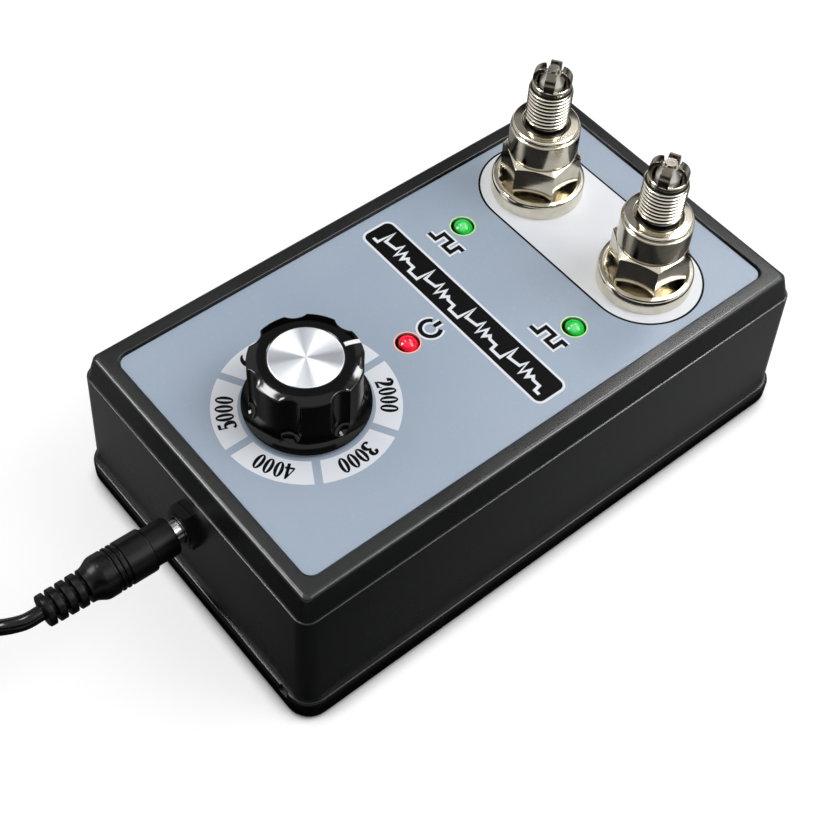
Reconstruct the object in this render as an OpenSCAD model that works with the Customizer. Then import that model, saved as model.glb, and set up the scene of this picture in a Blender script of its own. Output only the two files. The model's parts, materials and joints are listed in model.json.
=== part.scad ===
// Spark plug tester: a bench box with two plug sockets, a speed knob, three lamps and a low-voltage lead.
// Millimetres. +Z is up, +Y runs towards the plug sockets, and the origin is the middle of the underside.

/* [Case] */
// Length of the base flange
case_l = 146.4; // [140:0.2:160]
// Width of the base flange
case_w = 85.2; // [80:0.2:96]
// Height from the underside to the top of the rim
case_h = 43.8; // [42:0.2:50]
// Height of the base flange
flange_h = 6.8; // [5.6:0.1:8]
// How far the flange stands out from the wall
flange_out = 1.1; // [0.6:0.1:2]
// How far the wall leans in from its foot to its ledge
wall_draft = 1.3; // [0.8:0.1:2]
// Wall thickness
wall_t = 2.2; // [1.8:0.1:2.8]
// Thickness of the base floor
floor_t = 2.5; // [2:0.1:3.2]
// Thickness of the top under the label
top_t = 2.5; // [2:0.1:3.2]
// Height of the bevelled rim above the ledge
rim_h = 6.1; // [5:0.1:8]
// Width of the ledge under the rim
ledge_w = 0.4; // [0.2:0.1:0.8]
// How far the rim leans in
rim_run = 1.8; // [1.2:0.1:2.4]
// Radius of the upright corners at the foot of the wall
corner_r = 4.6; // [4.4:0.2:8]

/* [Label] */
// Width of the label
label_w = 68.3; // [66:0.1:70]
// Length of the label
label_l = 130; // [126:0.5:132]
// Thickness of the label
label_t = 0.5; // [0.3:0.1:0.8]
// Corner radius of the label
label_r = 2.5; // [2:0.5:6]
// Depth of the label below the rim
label_drop = 0.65; // [0.4:0.05:1]

/* [Sockets] */
// Sideways place of each socket
socket_x = 18.1; // [17:0.1:20]
// Lengthways place of the sockets
socket_y = 42.4; // [41:0.1:44]
// Outer diameter of a socket ring
ring_d = 22; // [21.5:0.5:26]
// Height of a socket ring
ring_h = 4.3; // [3.5:0.1:6]
// Diameter of a socket shank
shank_d = 18; // [17:0.25:19]
// Length of a socket shank below the label
shank_l = 9.5; // [8.5:0.5:12]
// Height of the seat in a ring above the label
seat_h = 1.3; // [0.8:0.1:2]

/* [Spark plug] */
// Hexagon across flats
hex_af = 16; // [15.5:0.1:16.2]
// Height of the hexagon
hex_h = 11; // [9:0.5:13]
// Diameter of the round collar above the hexagon
collar_d = 16.2; // [15:0.1:17]
// Height of the collar
collar_h = 6.6; // [5:0.2:8]
// Thread diameter
thread_d = 10; // [9:0.1:10.4]
// Thread pitch
thread_pitch = 1; // [0.8:0.05:1.25]
// Thread reach from the gasket seat
thread_reach = 12.7; // [11:0.1:19]
// Height of the ground electrodes above the shell
claw_h = 3.8; // [3.4:0.2:6]
// Diameter of the centre electrode
centre_d = 2.6; // [1.6:0.1:2.8]
// Length of the insulator below the hexagon
insulator_l = 20; // [18:0.5:21]
// Length of the terminal
terminal_l = 10.5; // [9:0.5:11]

/* [Knob] */
// Lengthways place of the knob
knob_y = -39.6; // [-42:0.2:-36]
// Top of the knob above the label
knob_h = 16; // [14:0.5:20]
// Diameter of the knob's skirt
skirt_d = 27.8; // [26:0.2:28.8]
// Diameter of the knob's grip
grip_d = 24.4; // [22:0.2:25.4]
// Diameter of the aluminium cap
cap_d = 15.8; // [13:0.2:17]
// Number of finger scoops round the grip
scoop_n = 7; // [5:1:9]
// Gap between the knob and the label
knob_gap = 0.9; // [0.5:0.1:1.5]
// Direction of the pointer
pointer_deg = 76; // [0:1:180]
// Diameter of the control shaft
shaft_d = 6; // [5:0.1:6.4]

/* [Lamps] */
// Diameter of a lamp
lamp_d = 5; // [3:0.5:5.5]
// Lengthways place of the red lamp
power_lamp_y = -12.1; // [-16:0.2:-10]
// Sideways place of each green lamp
signal_lamp_x = 19; // [16:0.2:22]
// Lengthways place of the green lamps
signal_lamp_y = 20; // [16:0.2:21]
// Top of a lamp above the label
lamp_rise = 1.2; // [0:0.1:2]

/* [Power jack and plug] */
// Height of the jack, measured up from the ledge under the rim
jack_z = -11.1; // [-13.7:0.2:-9.3]
// Outer diameter of the plug's barrel
barrel_d = 5.5; // [4.8:0.1:5.7]
// Diameter of the moulded grip
plug_d = 10; // [9:0.1:12]
// Diameter of the moulded nose
nose_d = 8.8; // [8:0.1:9.2]
// Diameter of the strain relief's ribs
relief_d = 7.6; // [7:0.1:8.4]
// Diameter of the cord
cord_d = 3.4; // [3:0.1:3.6]

/* [Wall adapter] */
// Length of the adapter
adapter_l = 48; // [44:1:52]
// Width of the adapter
adapter_w = 36; // [34:1:40]
// Thickness of the adapter's wall
adapter_t = 2; // [1.6:0.1:2.6]
// Length of the mains pins
pin_l = 19; // [17:0.5:20]
// Distance between the mains pins
pin_pitch = 19; // [18:0.5:20]

/* [Hidden] */
$fn = 64;
HULL_FN = 32;
SIDES = [-1, 1];
eps = 0.01;

// Clearances between pieces
slip = 0.05;
clear = 0.3;
snug = 0.15;

// Outlines and levels of the case
foot_w = case_w - 2 * flange_out;
foot_l = case_l - 2 * flange_out;
ledge_z = case_h - rim_h;
brow_w = foot_w - 2 * wall_draft;
brow_l = foot_l - 2 * wall_draft;
bevel_w = brow_w - 2 * ledge_w;
bevel_l = brow_l - 2 * ledge_w;
brow_r = corner_r - wall_draft;
bevel_r = brow_r - ledge_w;
rim_r = bevel_r - rim_run;
label_z = case_h - label_drop;
label_seat_z = label_z - label_t;
ceiling_z = label_seat_z - top_t;
cavity_w = foot_w - 2 * wall_t;
cavity_l = foot_l - 2 * wall_t;
cavity_draft = wall_draft + 0.6;
cavity_r = corner_r - wall_t;
ceiling_r = max(0.4, cavity_r - cavity_draft);
lip_h = 2.5;
lip_t = 1.6;
lip_gap = clear + 0.05;
post_d = 7;
post_in = 5;
post_x = cavity_w / 2 - post_in;
post_y = cavity_l / 2 - post_in;
post_z = flange_h + lip_h + slip;
screw_d = 2.9;
screw_head_d = 5.8;
screw_head_h = 2.2;
screw_recess = 2.6;
screw_l = 15;

// Sockets and contacts
ring_r = ring_d / 2;
shank_r = shank_d / 2;
hex_r = hex_af / 2 / cos(30);
cup_seat_r = hex_r + clear;
crimp_d = 13.6;
crimp_h = 3;
shank_bore_r = crimp_d / 2 + clear + 0.1;
seat_z = label_z + seat_h;
strap_t = 0.8;
strap_w = 24;
socket_nut_h = 4;
socket_nut_af = shank_d + 6;
cup_d = 16;
cup_bore_d = 11;
cup_floor = 3;
cup_top = 24;
button_h = 1.8;
button_d = 9.2;
spring_wire_d = 0.9;
spring_r = 3.4;
spring_turns = 4;

// Spark plug, measured from the underside of its hexagon
plug_z = seat_z + 0.2;
neck_h = 0.8;
neck_d = 14.6;
collar_z = hex_h + neck_h;
gasket_z = collar_z + collar_h;
gasket_t = 1.3;
gasket_d = collar_d - 0.8;
shell_end = gasket_z + thread_reach + 0.3;
thread_depth = 0.6 * thread_pitch;
thread_turns = floor((thread_reach - 2.4) / thread_pitch);
core_r = thread_d / 2 - thread_depth;
mouth_r = thread_d / 2 - 1.5;
gasket_gap = 0.35;
claw_t = 1.1;
claw_w = 2.6;
claw_n = 4;
claw_gap = 0.6;
claw_bend = 1.7;
claw_inset = 0.1;
electrode_drop = 0.2;
insulator_d = 10.4;
insulator_end_d = 8.6;
rib_n = 5;
waist_d = 12.4;
stem_r = 2.8;
nose_base_r = 2.7;
nose_tip_wall = 0.3;
nose_drop = 1.3;
nose_top = shell_end + claw_h - nose_drop;
terminal_d = 6.3;
terminal_bottom = plug_z - insulator_l - terminal_l;
button_top = terminal_bottom - 0.2;
spring_floor = floor_t + cup_floor;

// Ignition coils beside the contact cups
coil_w = 28;
coil_l = 34;
coil_h = 19;
coil_y = 0;
tower_d = 8;
tower_l = 6;
lead_d = 3.6;
lead_z = 8;

// Knob and potentiometer
knob_foot = label_z + knob_gap;
knob_top = label_z + knob_h;
skirt_r = skirt_d / 2;
grip_r = grip_d / 2;
cap_t = 0.7;
cap_rise = 0.15;
flare_h = 4.5;
edge_h = 0.5;
edge_run = 0.45;
dome_drop = 0.5;
dome_in_r = cap_d / 2 + 0.5;
dome_out_r = grip_r - edge_run;
scoop_r = 3.4;
scoop_depth = 1.2;
scoop_z = knob_foot + 5.5;
scoop_place = grip_r - scoop_depth + scoop_r;
hollow_r = 9;
hollow_h = 3.8;
shaft_top = knob_top - 3.8;
grub_z = knob_foot + hollow_h + 2.2;
grub_d = 3;
grub_deg = pointer_deg + 360 / scoop_n;
pot_d = 17;
pot_h = 8;
pot_wall = 1.1;
pot_z = ceiling_z - pot_h;
bush_d = shaft_d + 1;
bush_top = label_z + 3.2;
pot_nut_h = 2;
track_t = 1;
wiper_z = pot_z + track_t + 1.2;
wiper_t = 1.2;

// Lamps
lamp_r = lamp_d / 2;
lamp_top = label_z + lamp_rise;
lamp_l = 8.6;
lamp_flange_r = lamp_r + 0.4;
lamp_places = [[0, power_lamp_y], [-signal_lamp_x, signal_lamp_y], [signal_lamp_x, signal_lamp_y]];
lamp_leg_t = 0.5;
lamp_leg_pitch = 2.54;

// Jack: its axis is square to the leaning end wall, and s runs outwards from the wall's face
wall_tilt = atan(wall_draft / (ledge_z - flange_h));
jack_axis_z = ledge_z + jack_z;
jack_y = -(foot_l / 2 - wall_draft * (jack_axis_z - flange_h) / (ledge_z - flange_h));
jack_pad_t = 1.2;
jack_pad_s = -wall_t - jack_pad_t;
jack_neck_r = 3.9;
jack_flange_r = 6.7;
jack_flange_t = 2;
jack_rear_r = 5.2;
jack_rear_l = 12.6;
jack_rear_s = jack_pad_s - jack_rear_l;
jack_face_s = 2.4;
jack_bore_r = barrel_d / 2 + clear;
jack_bore_l = 12;
jack_bore_s = jack_face_s - jack_bore_l;
jack_nut_t = 2.1;
jack_nut_af = 9.6;
jack_nut_edge = 0.5;
jack_nut_turn = 12;
jack_pin_d = 1.9;
jack_pin_s = jack_face_s - 1.2;
lug_l = 4;
lug_x = 2.5;
lug_drop = 2.4;
wire_d = 1.4;
wire_bend = 3;

// Circuit board under the ceiling, from behind the jack to past the green lamps
board_gap = 3.3;
board_margin = 6;
board_front = jack_y - jack_rear_s * cos(wall_tilt) + board_gap;
board_back = signal_lamp_y + board_margin;
board_w = 64;
board_l = board_back - board_front;
board_y = (board_front + board_back) / 2;
board_t = 1.6;
board_drop = 10.5;
board_z = ceiling_z - board_drop;
board_post_d = 6;
board_post_in = 4;
board_screw_d = 2.2;
board_screw_in = 5;
board_post_x = board_w / 2 - board_post_in;
board_post_y = board_l / 2 - board_post_in;

// Plug of the lead, in the jack's own s
barrel_bore_d = jack_pin_d + 2 * clear;
barrel_in = 8;
barrel_s = jack_face_s - barrel_in;
nose_gap = 2.1;
nose_s = jack_face_s + nose_gap;
barrel_root_l = 3.4;
barrel_end_s = nose_s + barrel_root_l;
nose_l = 5.9;
grip_s = nose_s + nose_l;
groove_from_grip = 6.3;
groove_s = grip_s + groove_from_grip;
groove_pitch = 1.25;
groove_n = 3;
groove_depth = 0.45;
grip_l = 11.4;
shoulder_s = grip_s + grip_l;
shoulder_l = 3.7;
relief_s = shoulder_s + shoulder_l;
rib_pitch = 2.45;
relief_rib_n = 4;
relief_end_s = relief_s + rib_pitch * relief_rib_n;
relief_slot_w = 0.95;
relief_slot_depth = 1.5;
relief_taper = 0.07;
relief_edge = 0.15;
relief_r = relief_d / 2;
relief_groove_r = relief_r - relief_slot_depth;

// Cord: from the strain relief down to the table, a tied coil, and on to the wall adapter
cord_r = cord_d / 2;
cord_sides = 8;
coil_sides = 6;
rings_per_turn = 24;
tie_t = 0.8;
tie_w = 5;
tie_deg = 200;
coil_at = [-42, -141.5];
coil_out_r = 23.5;
coil_pitch = cord_d + 0.6;
layer_turns = 2.375;
layer_n = 4;
turn_n = layer_turns * layer_n;
coil_in_r = coil_out_r - coil_pitch * layer_turns;
coil_z = tie_t + 0.1 + cord_r;
coil_top_z = coil_z + coil_pitch * (layer_n - 1);
coil_start = [coil_at[0], coil_at[1] + coil_out_r, coil_z];
coil_end = [coil_at[0], coil_at[1] - coil_out_r, coil_top_z];
drop_points = [
    [-0.8, -112.2, 28],
    [-2.4, -114.6, 27.3],
    [-4.8, -116.7, 25.9],
    [-7.8, -118.5, 23.6],
    [-11.2, -119.8, 20.7],
    [-14.8, -120.6, 17.3],
    [-18.4, -120.8, 13.8],
    [-21.8, -120.5, 10.4],
    [-25, -119.9, 7.4],
    [-28, -119.1, 5],
    [-30.6, -118.5, 3.5]
];
jack_out = [0, -cos(wall_tilt), sin(wall_tilt)];
relief_end = [0, jack_y, jack_axis_z] + relief_end_s * jack_out;
adapter_relief_x = -12;
tail_points = [[-31, -165, 14.4], [-27, -165, 14.2], [-23, -165, 14.2], [-19, -165, 14.4]];

// Wall adapter, lying on its face with its pins up
adapter_relief_l = 10;
adapter_x = adapter_relief_x + adapter_relief_l;
adapter_y = coil_end[1];
adapter_z = coil_top_z;
adapter_d = 2 * adapter_z;
adapter_lid_h = 9;
adapter_r = 4;
pin_d = 4;
pin_boss_r = pin_d / 2 + 1;

// Shared shapes

module rounded_slab(w, l, h, r) {
    linear_extrude(h) {
        square([w - 2 * r, l], center = true);
        square([w, l - 2 * r], center = true);
        for (x = SIDES, y = SIDES)
            translate([x * (w / 2 - r), y * (l / 2 - r)]) circle(r);
    }
}

module corner_discs(w, l, r) {
    for (x = SIDES, y = SIDES)
        translate([x * (w / 2 - r), y * (l / 2 - r), 0]) cylinder(h = eps, r = r, $fn = HULL_FN);
}

// A block whose rounded outline changes from its foot to its top
module tapered_slab(w0, l0, r0, w1, l1, r1, h) {
    hull() {
        corner_discs(w0, l0, r0);
        translate([0, 0, h - eps]) corner_discs(w1, l1, r1);
    }
}

module at_corners(x, y) {
    for (i = SIDES, j = SIDES) translate([i * x, j * y, 0]) children();
}

module at_sockets() {
    for (i = SIDES) translate([i * socket_x, socket_y, 0]) children();
}

module at_lamps() {
    for (p = lamp_places) translate([p[0], p[1], 0]) children();
}

module at_knob() {
    translate([0, knob_y, 0]) children();
}

module at_jack() {
    translate([0, jack_y, jack_axis_z]) rotate([90 - wall_tilt, 0, 0]) children();
}

module at_board_posts() {
    translate([0, board_y, 0]) at_corners(board_post_x, board_post_y) children();
}

module tube(r, bore, z0, z1) {
    translate([0, 0, z0]) difference() {
        cylinder(h = z1 - z0, r = r);
        translate([0, 0, -1]) cylinder(h = z1 - z0 + 2, r = bore);
    }
}

module rod(r, z0, z1) {
    translate([0, 0, z0]) cylinder(h = z1 - z0, r = r);
}

// A round tube swept along points as one polyhedron of triangles
function unit(v) = v / norm(v);
function tangent(p, i) = unit(p[min(i + 1, len(p) - 1)] - p[max(i - 1, 0)]);
function side_of(t) = unit(cross(t, [0, 0, 1]));
function ring_at(p, i, r, n) =
    let (t = tangent(p, i), a = side_of(t), b = cross(a, t))
    [for (k = [0 : n - 1]) p[i] + r * (cos(360 * k / n) * a + sin(360 * k / n) * b)];

module swept_tube(p, r, n) {
    last = len(p) - 1;
    rings = [for (i = [0 : last]) each ring_at(p, i, r, n)];
    wall = [for (i = [0 : last - 1], k = [0 : n - 1])
        let (a = i * n + k, b = i * n + (k + 1) % n)
        each [[a, a + n, b], [b, a + n, b + n]]];
    first_cap = [for (k = [1 : n - 2]) [0, k, k + 1]];
    last_cap = [for (k = [1 : n - 2]) [last * n, last * n + k + 1, last * n + k]];
    polyhedron(points = rings, faces = concat(wall, first_cap, last_cap));
}

// Case

module upper_case() {
    color("#2b2c2e") difference() {
        union() {
            difference() {
                union() {
                    translate([0, 0, flange_h]) tapered_slab(
                        foot_w, foot_l, corner_r, brow_w, brow_l, brow_r, ledge_z - flange_h);
                    translate([0, 0, ledge_z - eps]) tapered_slab(
                        bevel_w, bevel_l, bevel_r, bevel_w - 2 * rim_run, bevel_l - 2 * rim_run, rim_r,
                        rim_h + eps);
                }
                translate([0, 0, flange_h - eps]) tapered_slab(
                    cavity_w, cavity_l, cavity_r,
                    cavity_w - 2 * cavity_draft, cavity_l - 2 * cavity_draft, ceiling_r,
                    ceiling_z - flange_h + eps);
                translate([0, 0, label_seat_z]) rounded_slab(
                    label_w + 2 * snug, label_l + 2 * snug, case_h, label_r + snug);
            }
            at_corners(post_x, post_y) rod(post_d / 2, post_z, ceiling_z + eps);
            at_board_posts() rod(board_post_d / 2, board_z, ceiling_z + eps);
            at_jack() rod(jack_flange_r + 1, jack_pad_s, -wall_t / 2);
        }
        at_corners(post_x, post_y) rod(screw_d / 2 + slip, post_z - 1, post_z + screw_l);
        at_board_posts() rod(board_screw_d / 2 + slip, board_z - 1, board_z + board_screw_in + 1);
        at_sockets() rod(shank_r + snug, ceiling_z - 1, case_h);
        at_lamps() rod(lamp_r + snug, ceiling_z - 1, case_h);
        at_knob() rod(bush_d / 2 + snug, ceiling_z - 1, case_h);
        at_jack() rod(jack_neck_r + snug, jack_pad_s - 1, 4);
    }
}

module base_cover() {
    foot_in = 1;
    foot_h = 1.3;
    brow_in = 0.45;
    brow_h = 0.7;
    notch_x = 33.6;
    notch_w = 2.8;
    notch_h = 1.6;
    notch_in = 0.7;
    lip_w = cavity_w - 2 * lip_gap;
    lip_l = cavity_l - 2 * lip_gap;
    lip_r = cavity_r - lip_gap;
    color("#1c1d1f") difference() {
        union() {
            difference() {
                union() {
                    tapered_slab(case_w - 2 * foot_in, case_l - 2 * foot_in, corner_r,
                        case_w, case_l, corner_r + flange_out, foot_h + eps);
                    translate([0, 0, foot_h]) rounded_slab(
                        case_w, case_l, flange_h - foot_h - brow_h, corner_r + flange_out);
                    translate([0, 0, flange_h - brow_h - eps]) tapered_slab(
                        case_w, case_l, corner_r + flange_out,
                        case_w - 2 * brow_in, case_l - 2 * brow_in, corner_r + flange_out - brow_in,
                        brow_h + eps);
                    translate([0, 0, flange_h - eps]) rounded_slab(lip_w, lip_l, lip_h + eps, lip_r);
                }
                translate([0, 0, floor_t]) rounded_slab(
                    lip_w - 2 * lip_t, lip_l - 2 * lip_t, case_h, lip_r - lip_t / 2);
            }
            at_corners(post_x, post_y) rod(post_d / 2 + 0.5, floor_t - eps, post_z);
            at_sockets() tube(cup_d / 2 + 2, cup_d / 2 + slip, floor_t - eps, floor_t + 3);
        }
        at_corners(post_x, post_y) {
            rod(screw_d / 2 + snug, -1, post_z + 1);
            rod(screw_head_d / 2 + snug, -1, screw_recess);
        }
        translate([notch_x, -case_l / 2 - 1, flange_h - notch_h]) cube([notch_w, 1 + notch_in, notch_h + 1]);
    }
}

module cross_recess(w, h) {
    for (a = [0, 90]) rotate(a) translate([-w / 2, -w / 10, -eps]) cube([w, w / 5, h]);
}

module base_screws() {
    color("#8d8f92") at_corners(post_x, post_y) difference() {
        union() {
            rod(screw_head_d / 2, screw_recess - screw_head_h, screw_recess);
            rod(screw_d / 2, screw_recess - eps, post_z + screw_l - 1);
        }
        translate([0, 0, screw_recess - screw_head_h]) cross_recess(3.4, 1.2);
    }
}

module front_label() {
    color("#a9b8c9") difference() {
        translate([0, 0, label_seat_z]) rounded_slab(label_w, label_l, label_t, label_r);
        at_sockets() rod(shank_r + snug, ceiling_z, case_h);
        at_lamps() rod(lamp_flange_r, ceiling_z, case_h);
        at_knob() rod(bush_d / 2 + snug, ceiling_z, case_h);
    }
}

// Sockets and contacts

module socket_ring(x) {
    edge = 1.2;
    color("#d9d2c0") translate([x, socket_y, label_z]) rotate_extrude() difference() {
        union() {
            translate([shank_bore_r, -shank_l]) square([shank_r - shank_bore_r, shank_l + seat_h]);
            translate([shank_bore_r, 0]) square([ring_r - shank_bore_r, ring_h - edge]);
            translate([shank_bore_r, ring_h - edge - eps])
                square([ring_r - edge - shank_bore_r, edge + eps]);
            translate([ring_r - edge, ring_h - edge]) circle(edge);
        }
        translate([0, seat_h]) square([cup_seat_r, ring_h]);
    }
}

module socket_nuts() {
    nut_z = ceiling_z - strap_t - socket_nut_h;
    color("#c9c4b4") at_sockets() difference() {
        translate([0, 0, nut_z]) cylinder(h = socket_nut_h, r = socket_nut_af / 2 / cos(30), $fn = 6);
        rod(shank_r + slip, nut_z - 1, ceiling_z);
    }
}

module ground_strap() {
    leg_w = 5;
    leg_y = board_y + board_l / 2 - 2;
    color("#c79a4b") difference() {
        union() {
            translate([-socket_x, socket_y - strap_w / 2, ceiling_z - strap_t])
                cube([2 * socket_x, strap_w, strap_t]);
            at_sockets() rod(strap_w / 2, ceiling_z - strap_t, ceiling_z);
            translate([-leg_w / 2, leg_y, ceiling_z - strap_t])
                cube([leg_w, socket_y - leg_y, strap_t]);
            translate([-leg_w / 2, leg_y, board_z]) cube([leg_w, strap_t, board_drop]);
        }
        at_sockets() rod(shank_r + slip, 0, case_h);
    }
}

module contact_cups() {
    color("#ece8dc") at_sockets() difference() {
        rod(cup_d / 2, floor_t, cup_top);
        rod(cup_bore_d / 2, spring_floor, case_h);
        translate([0, 0, lead_z]) rotate([90, 0, 0]) rod(lead_d / 2 + slip, 0, cup_d);
    }
}

function helix(r, z0, z1, n, rings) =
    [for (i = [0 : n * rings])
        let (a = 360 * i / rings) [r * cos(a), r * sin(a), z0 + (z1 - z0) * i / (n * rings)]];

module contact_springs() {
    low = spring_floor + spring_wire_d / 2 + slip;
    high = button_top - button_h - spring_wire_d / 2 - slip;
    color("#b9babb") at_sockets()
        swept_tube(helix(spring_r, low, high, spring_turns, 16), spring_wire_d / 2, 6);
}

module contact_buttons() {
    color("#c79a4b") at_sockets() {
        rod(button_d / 2, button_top - button_h, button_top - 0.8);
        rod(button_d / 2 - 1, button_top - 0.8 - eps, button_top);
        rod(spring_r - spring_wire_d, button_top - button_h - 2, button_top - button_h + eps);
    }
}

// Electronics

module ignition_coil(x) {
    color("#26282b") translate([x, coil_y, 0]) {
        translate([0, 0, floor_t]) rounded_slab(coil_w, coil_l, coil_h, 2);
        translate([0, coil_l / 2 - eps, lead_z]) rotate([-90, 0, 0]) tube(
            tower_d / 2, lead_d / 2 + slip, 0, tower_l);
    }
}

module coil_pins() {
    pin_x = 8;
    color("#c9c9c4") for (i = SIDES, j = SIDES)
        translate([i * socket_x + j * pin_x, coil_y, 0])
            rod(0.6, floor_t + coil_h, board_z - board_t);
}

module hv_leads() {
    from_y = coil_y + coil_l / 2;
    to_y = socket_y - spring_r - spring_wire_d - clear;
    color("#8e1f1c") for (i = SIDES)
        translate([i * socket_x, from_y, lead_z]) rotate([-90, 0, 0]) rod(lead_d / 2, 0, to_y - from_y);
}

module circuit_board() {
    color("#1f6b3c") difference() {
        translate([0, board_y, board_z - board_t]) rounded_slab(board_w, board_l, board_t, 2);
        at_board_posts() rod(board_screw_d / 2 + snug, 0, case_h);
    }
}

module board_screws() {
    head_h = 1.4;
    head_z = board_z - board_t - head_h;
    color("#8d8f92") at_board_posts() difference() {
        union() {
            rod(board_screw_d, head_z, head_z + head_h);
            rod(board_screw_d / 2, head_z + head_h - eps, board_z + board_screw_in);
        }
        translate([0, 0, head_z]) cross_recess(2.4, 0.8);
    }
}

module timer_chip() {
    chip_l = 9.6;
    chip_w = 6.4;
    chip_h = 3.4;
    leg = 0.6;
    pitch = 2.54;
    chip_x = 16;
    chip_in = 16;
    translate([chip_x, board_front + chip_in, board_z]) {
        color("#202123") translate([-chip_w / 2, -chip_l / 2, leg]) cube([chip_w, chip_l, chip_h]);
        color("#c9c9c4") for (i = SIDES, k = [0 : 3])
            translate([i * (chip_w / 2 + leg / 2) - leg / 2, (k - 1.5) * pitch - leg / 2, 0])
                cube([leg, leg, leg + chip_h / 2]);
    }
}

module board_components() {
    can_d = 8;
    can_h = 9;
    resistor_d = 2.3;
    resistor_l = 6.4;
    can_x = -17;
    can_pitch = 10;
    can_in = 24;
    resistor_x = -24;
    resistor_pitch = 4;
    resistor_in = 22;
    color("#2c3f77") for (i = SIDES)
        translate([can_x + i * can_pitch / 2, board_back - can_in, board_z]) cylinder(h = can_h, d = can_d);
    color("#c8b07a") for (k = [0 : 3])
        translate([resistor_x + k * resistor_pitch, board_front + resistor_in, board_z + resistor_d / 2])
            rotate([90, 0, 0]) cylinder(h = resistor_l, d = resistor_d);
}

module drive_transistors() {
    body_w = 10;
    body_l = 9;
    body_h = 4.4;
    tab_l = 6;
    tab_t = 1.3;
    body_x = 15;
    body_pitch = 14;
    body_in = 28;
    color("#232426") for (i = SIDES)
        translate([body_x + i * body_pitch / 2 - body_w / 2, board_back - body_in, board_z]) {
            cube([body_w, body_l, body_h]);
            translate([0, body_l - eps, 0]) cube([body_w, tab_l, tab_t]);
        }
}

module lamp(p, tint) {
    color(tint) translate([p[0], p[1], lamp_top]) rotate_extrude() {
        translate([0, -lamp_l]) square([lamp_flange_r, 1]);
        translate([0, -lamp_l]) square([lamp_r, lamp_l - lamp_r]);
        intersection() {
            translate([0, -lamp_r]) circle(lamp_r);
            translate([0, -lamp_d]) square([lamp_d, lamp_d]);
        }
    }
}

module power_lamp() { lamp(lamp_places[0], "#ff0a3c"); }
module signal_lamp_left() { lamp(lamp_places[1], "#00d24a"); }
module signal_lamp_right() { lamp(lamp_places[2], "#00d24a"); }

module lamp_legs() {
    color("#c9c9c4") at_lamps() for (i = SIDES)
        translate([i * lamp_leg_pitch / 2 - lamp_leg_t / 2, -lamp_leg_t / 2, board_z])
            cube([lamp_leg_t, lamp_leg_t, lamp_top - lamp_l - board_z]);
}

// Potentiometer

module pot_case() {
    color("#b7b9bb") at_knob() difference() {
        rod(pot_d / 2, pot_z, ceiling_z);
        rod(pot_d / 2 - pot_wall, pot_z - 1, ceiling_z - pot_wall);
        rod(bush_d / 2 + slip, pot_z, case_h);
    }
}

module pot_bushing() {
    color("#c7b06c") at_knob() tube(bush_d / 2, shaft_d / 2 + slip, ceiling_z - pot_wall, bush_top);
}

module pot_nut() {
    color("#c9c9c4") at_knob() difference() {
        translate([0, 0, label_z]) cylinder(h = pot_nut_h, d = (bush_d + 3) / cos(30), $fn = 6);
        rod(bush_d / 2 + slip, ceiling_z, knob_top);
    }
}

module pot_track() {
    lug_w = 1;
    lug_pitch = 5;
    lug_y = -4;
    color("#6b4a2c") at_knob() rod(pot_d / 2 - pot_wall - slip, pot_z, pot_z + track_t);
    color("#c9c9c4") at_knob() for (k = [-1 : 1])
        translate([k * lug_pitch - lug_w / 2, lug_y, board_z]) cube([lug_w, 0.6, pot_z - board_z]);
}

module pot_shaft() {
    color("#b9babb") at_knob() rod(shaft_d / 2, wiper_z - 0.4, shaft_top);
}

module pot_wiper() {
    color("#6b4a2c") at_knob() {
        tube(pot_d / 2 - pot_wall - 0.9, shaft_d / 2 + slip, wiper_z, wiper_z + wiper_t);
        translate([4.4, -0.7, pot_z + track_t + clear])
            cube([1.4, 1.4, wiper_z - pot_z - track_t - clear + eps]);
    }
}

// Knob

flare_steps = 8;
edge_steps = 5;
dome_steps = 4;
knob_outline = concat(
    [[0, knob_foot], [skirt_r - 0.4, knob_foot], [skirt_r, knob_foot + 0.4]],
    [for (i = [1 : flare_steps])
        let (u = i / flare_steps)
        [grip_r + (skirt_r - grip_r) * pow(1 - u, 2), knob_foot + 0.8 + flare_h * u]],
    [for (i = [0 : edge_steps])
        let (a = 90 * i / edge_steps)
        [grip_r - edge_run * (1 - cos(a)), knob_top - dome_drop - edge_h * (1 - sin(a))]],
    [for (i = [1 : dome_steps])
        let (u = 1 - i / dome_steps)
        [dome_in_r + (dome_out_r - dome_in_r) * u, knob_top - dome_drop * u * u]],
    [[0, knob_top]]
);

module scoop() {
    rotate_extrude() {
        square([scoop_r, knob_h]);
        intersection() {
            circle(scoop_r);
            translate([0, -scoop_r]) square(scoop_r);
        }
    }
}

module knob() {
    color("#0d0d0f") at_knob() difference() {
        rotate_extrude() polygon(knob_outline);
        rod(hollow_r, knob_foot - 1, knob_foot + hollow_h);
        rod(shaft_d / 2 + slip, knob_foot - 1, shaft_top + clear);
        rod(cap_d / 2 + slip, knob_top - cap_t + cap_rise, knob_top + 1);
        for (k = [0 : scoop_n - 1])
            rotate(pointer_deg + 360 * (k + 0.5) / scoop_n)
                translate([scoop_place, 0, scoop_z]) scoop();
        rotate(grub_deg) translate([0, 0, grub_z]) rotate([0, 90, 0])
            rod(grub_d / 2 + slip, 0, skirt_r + 1);
    }
}

module knob_cap() {
    color("#e4e6e9") at_knob() rod(cap_d / 2, knob_top - cap_t + cap_rise, knob_top + cap_rise);
}

module knob_grub_screw() {
    color("#3a3b3d") at_knob() rotate(grub_deg) translate([0, 0, grub_z]) rotate([0, 90, 0]) difference() {
        rod(grub_d / 2, shaft_d / 2 + slip, shaft_d / 2 + 5);
        translate([-0.3, -grub_d, shaft_d / 2 + 4]) cube([0.6, 2 * grub_d, 2]);
    }
}

// Spark plugs, built upright from the underside of the hexagon

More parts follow.
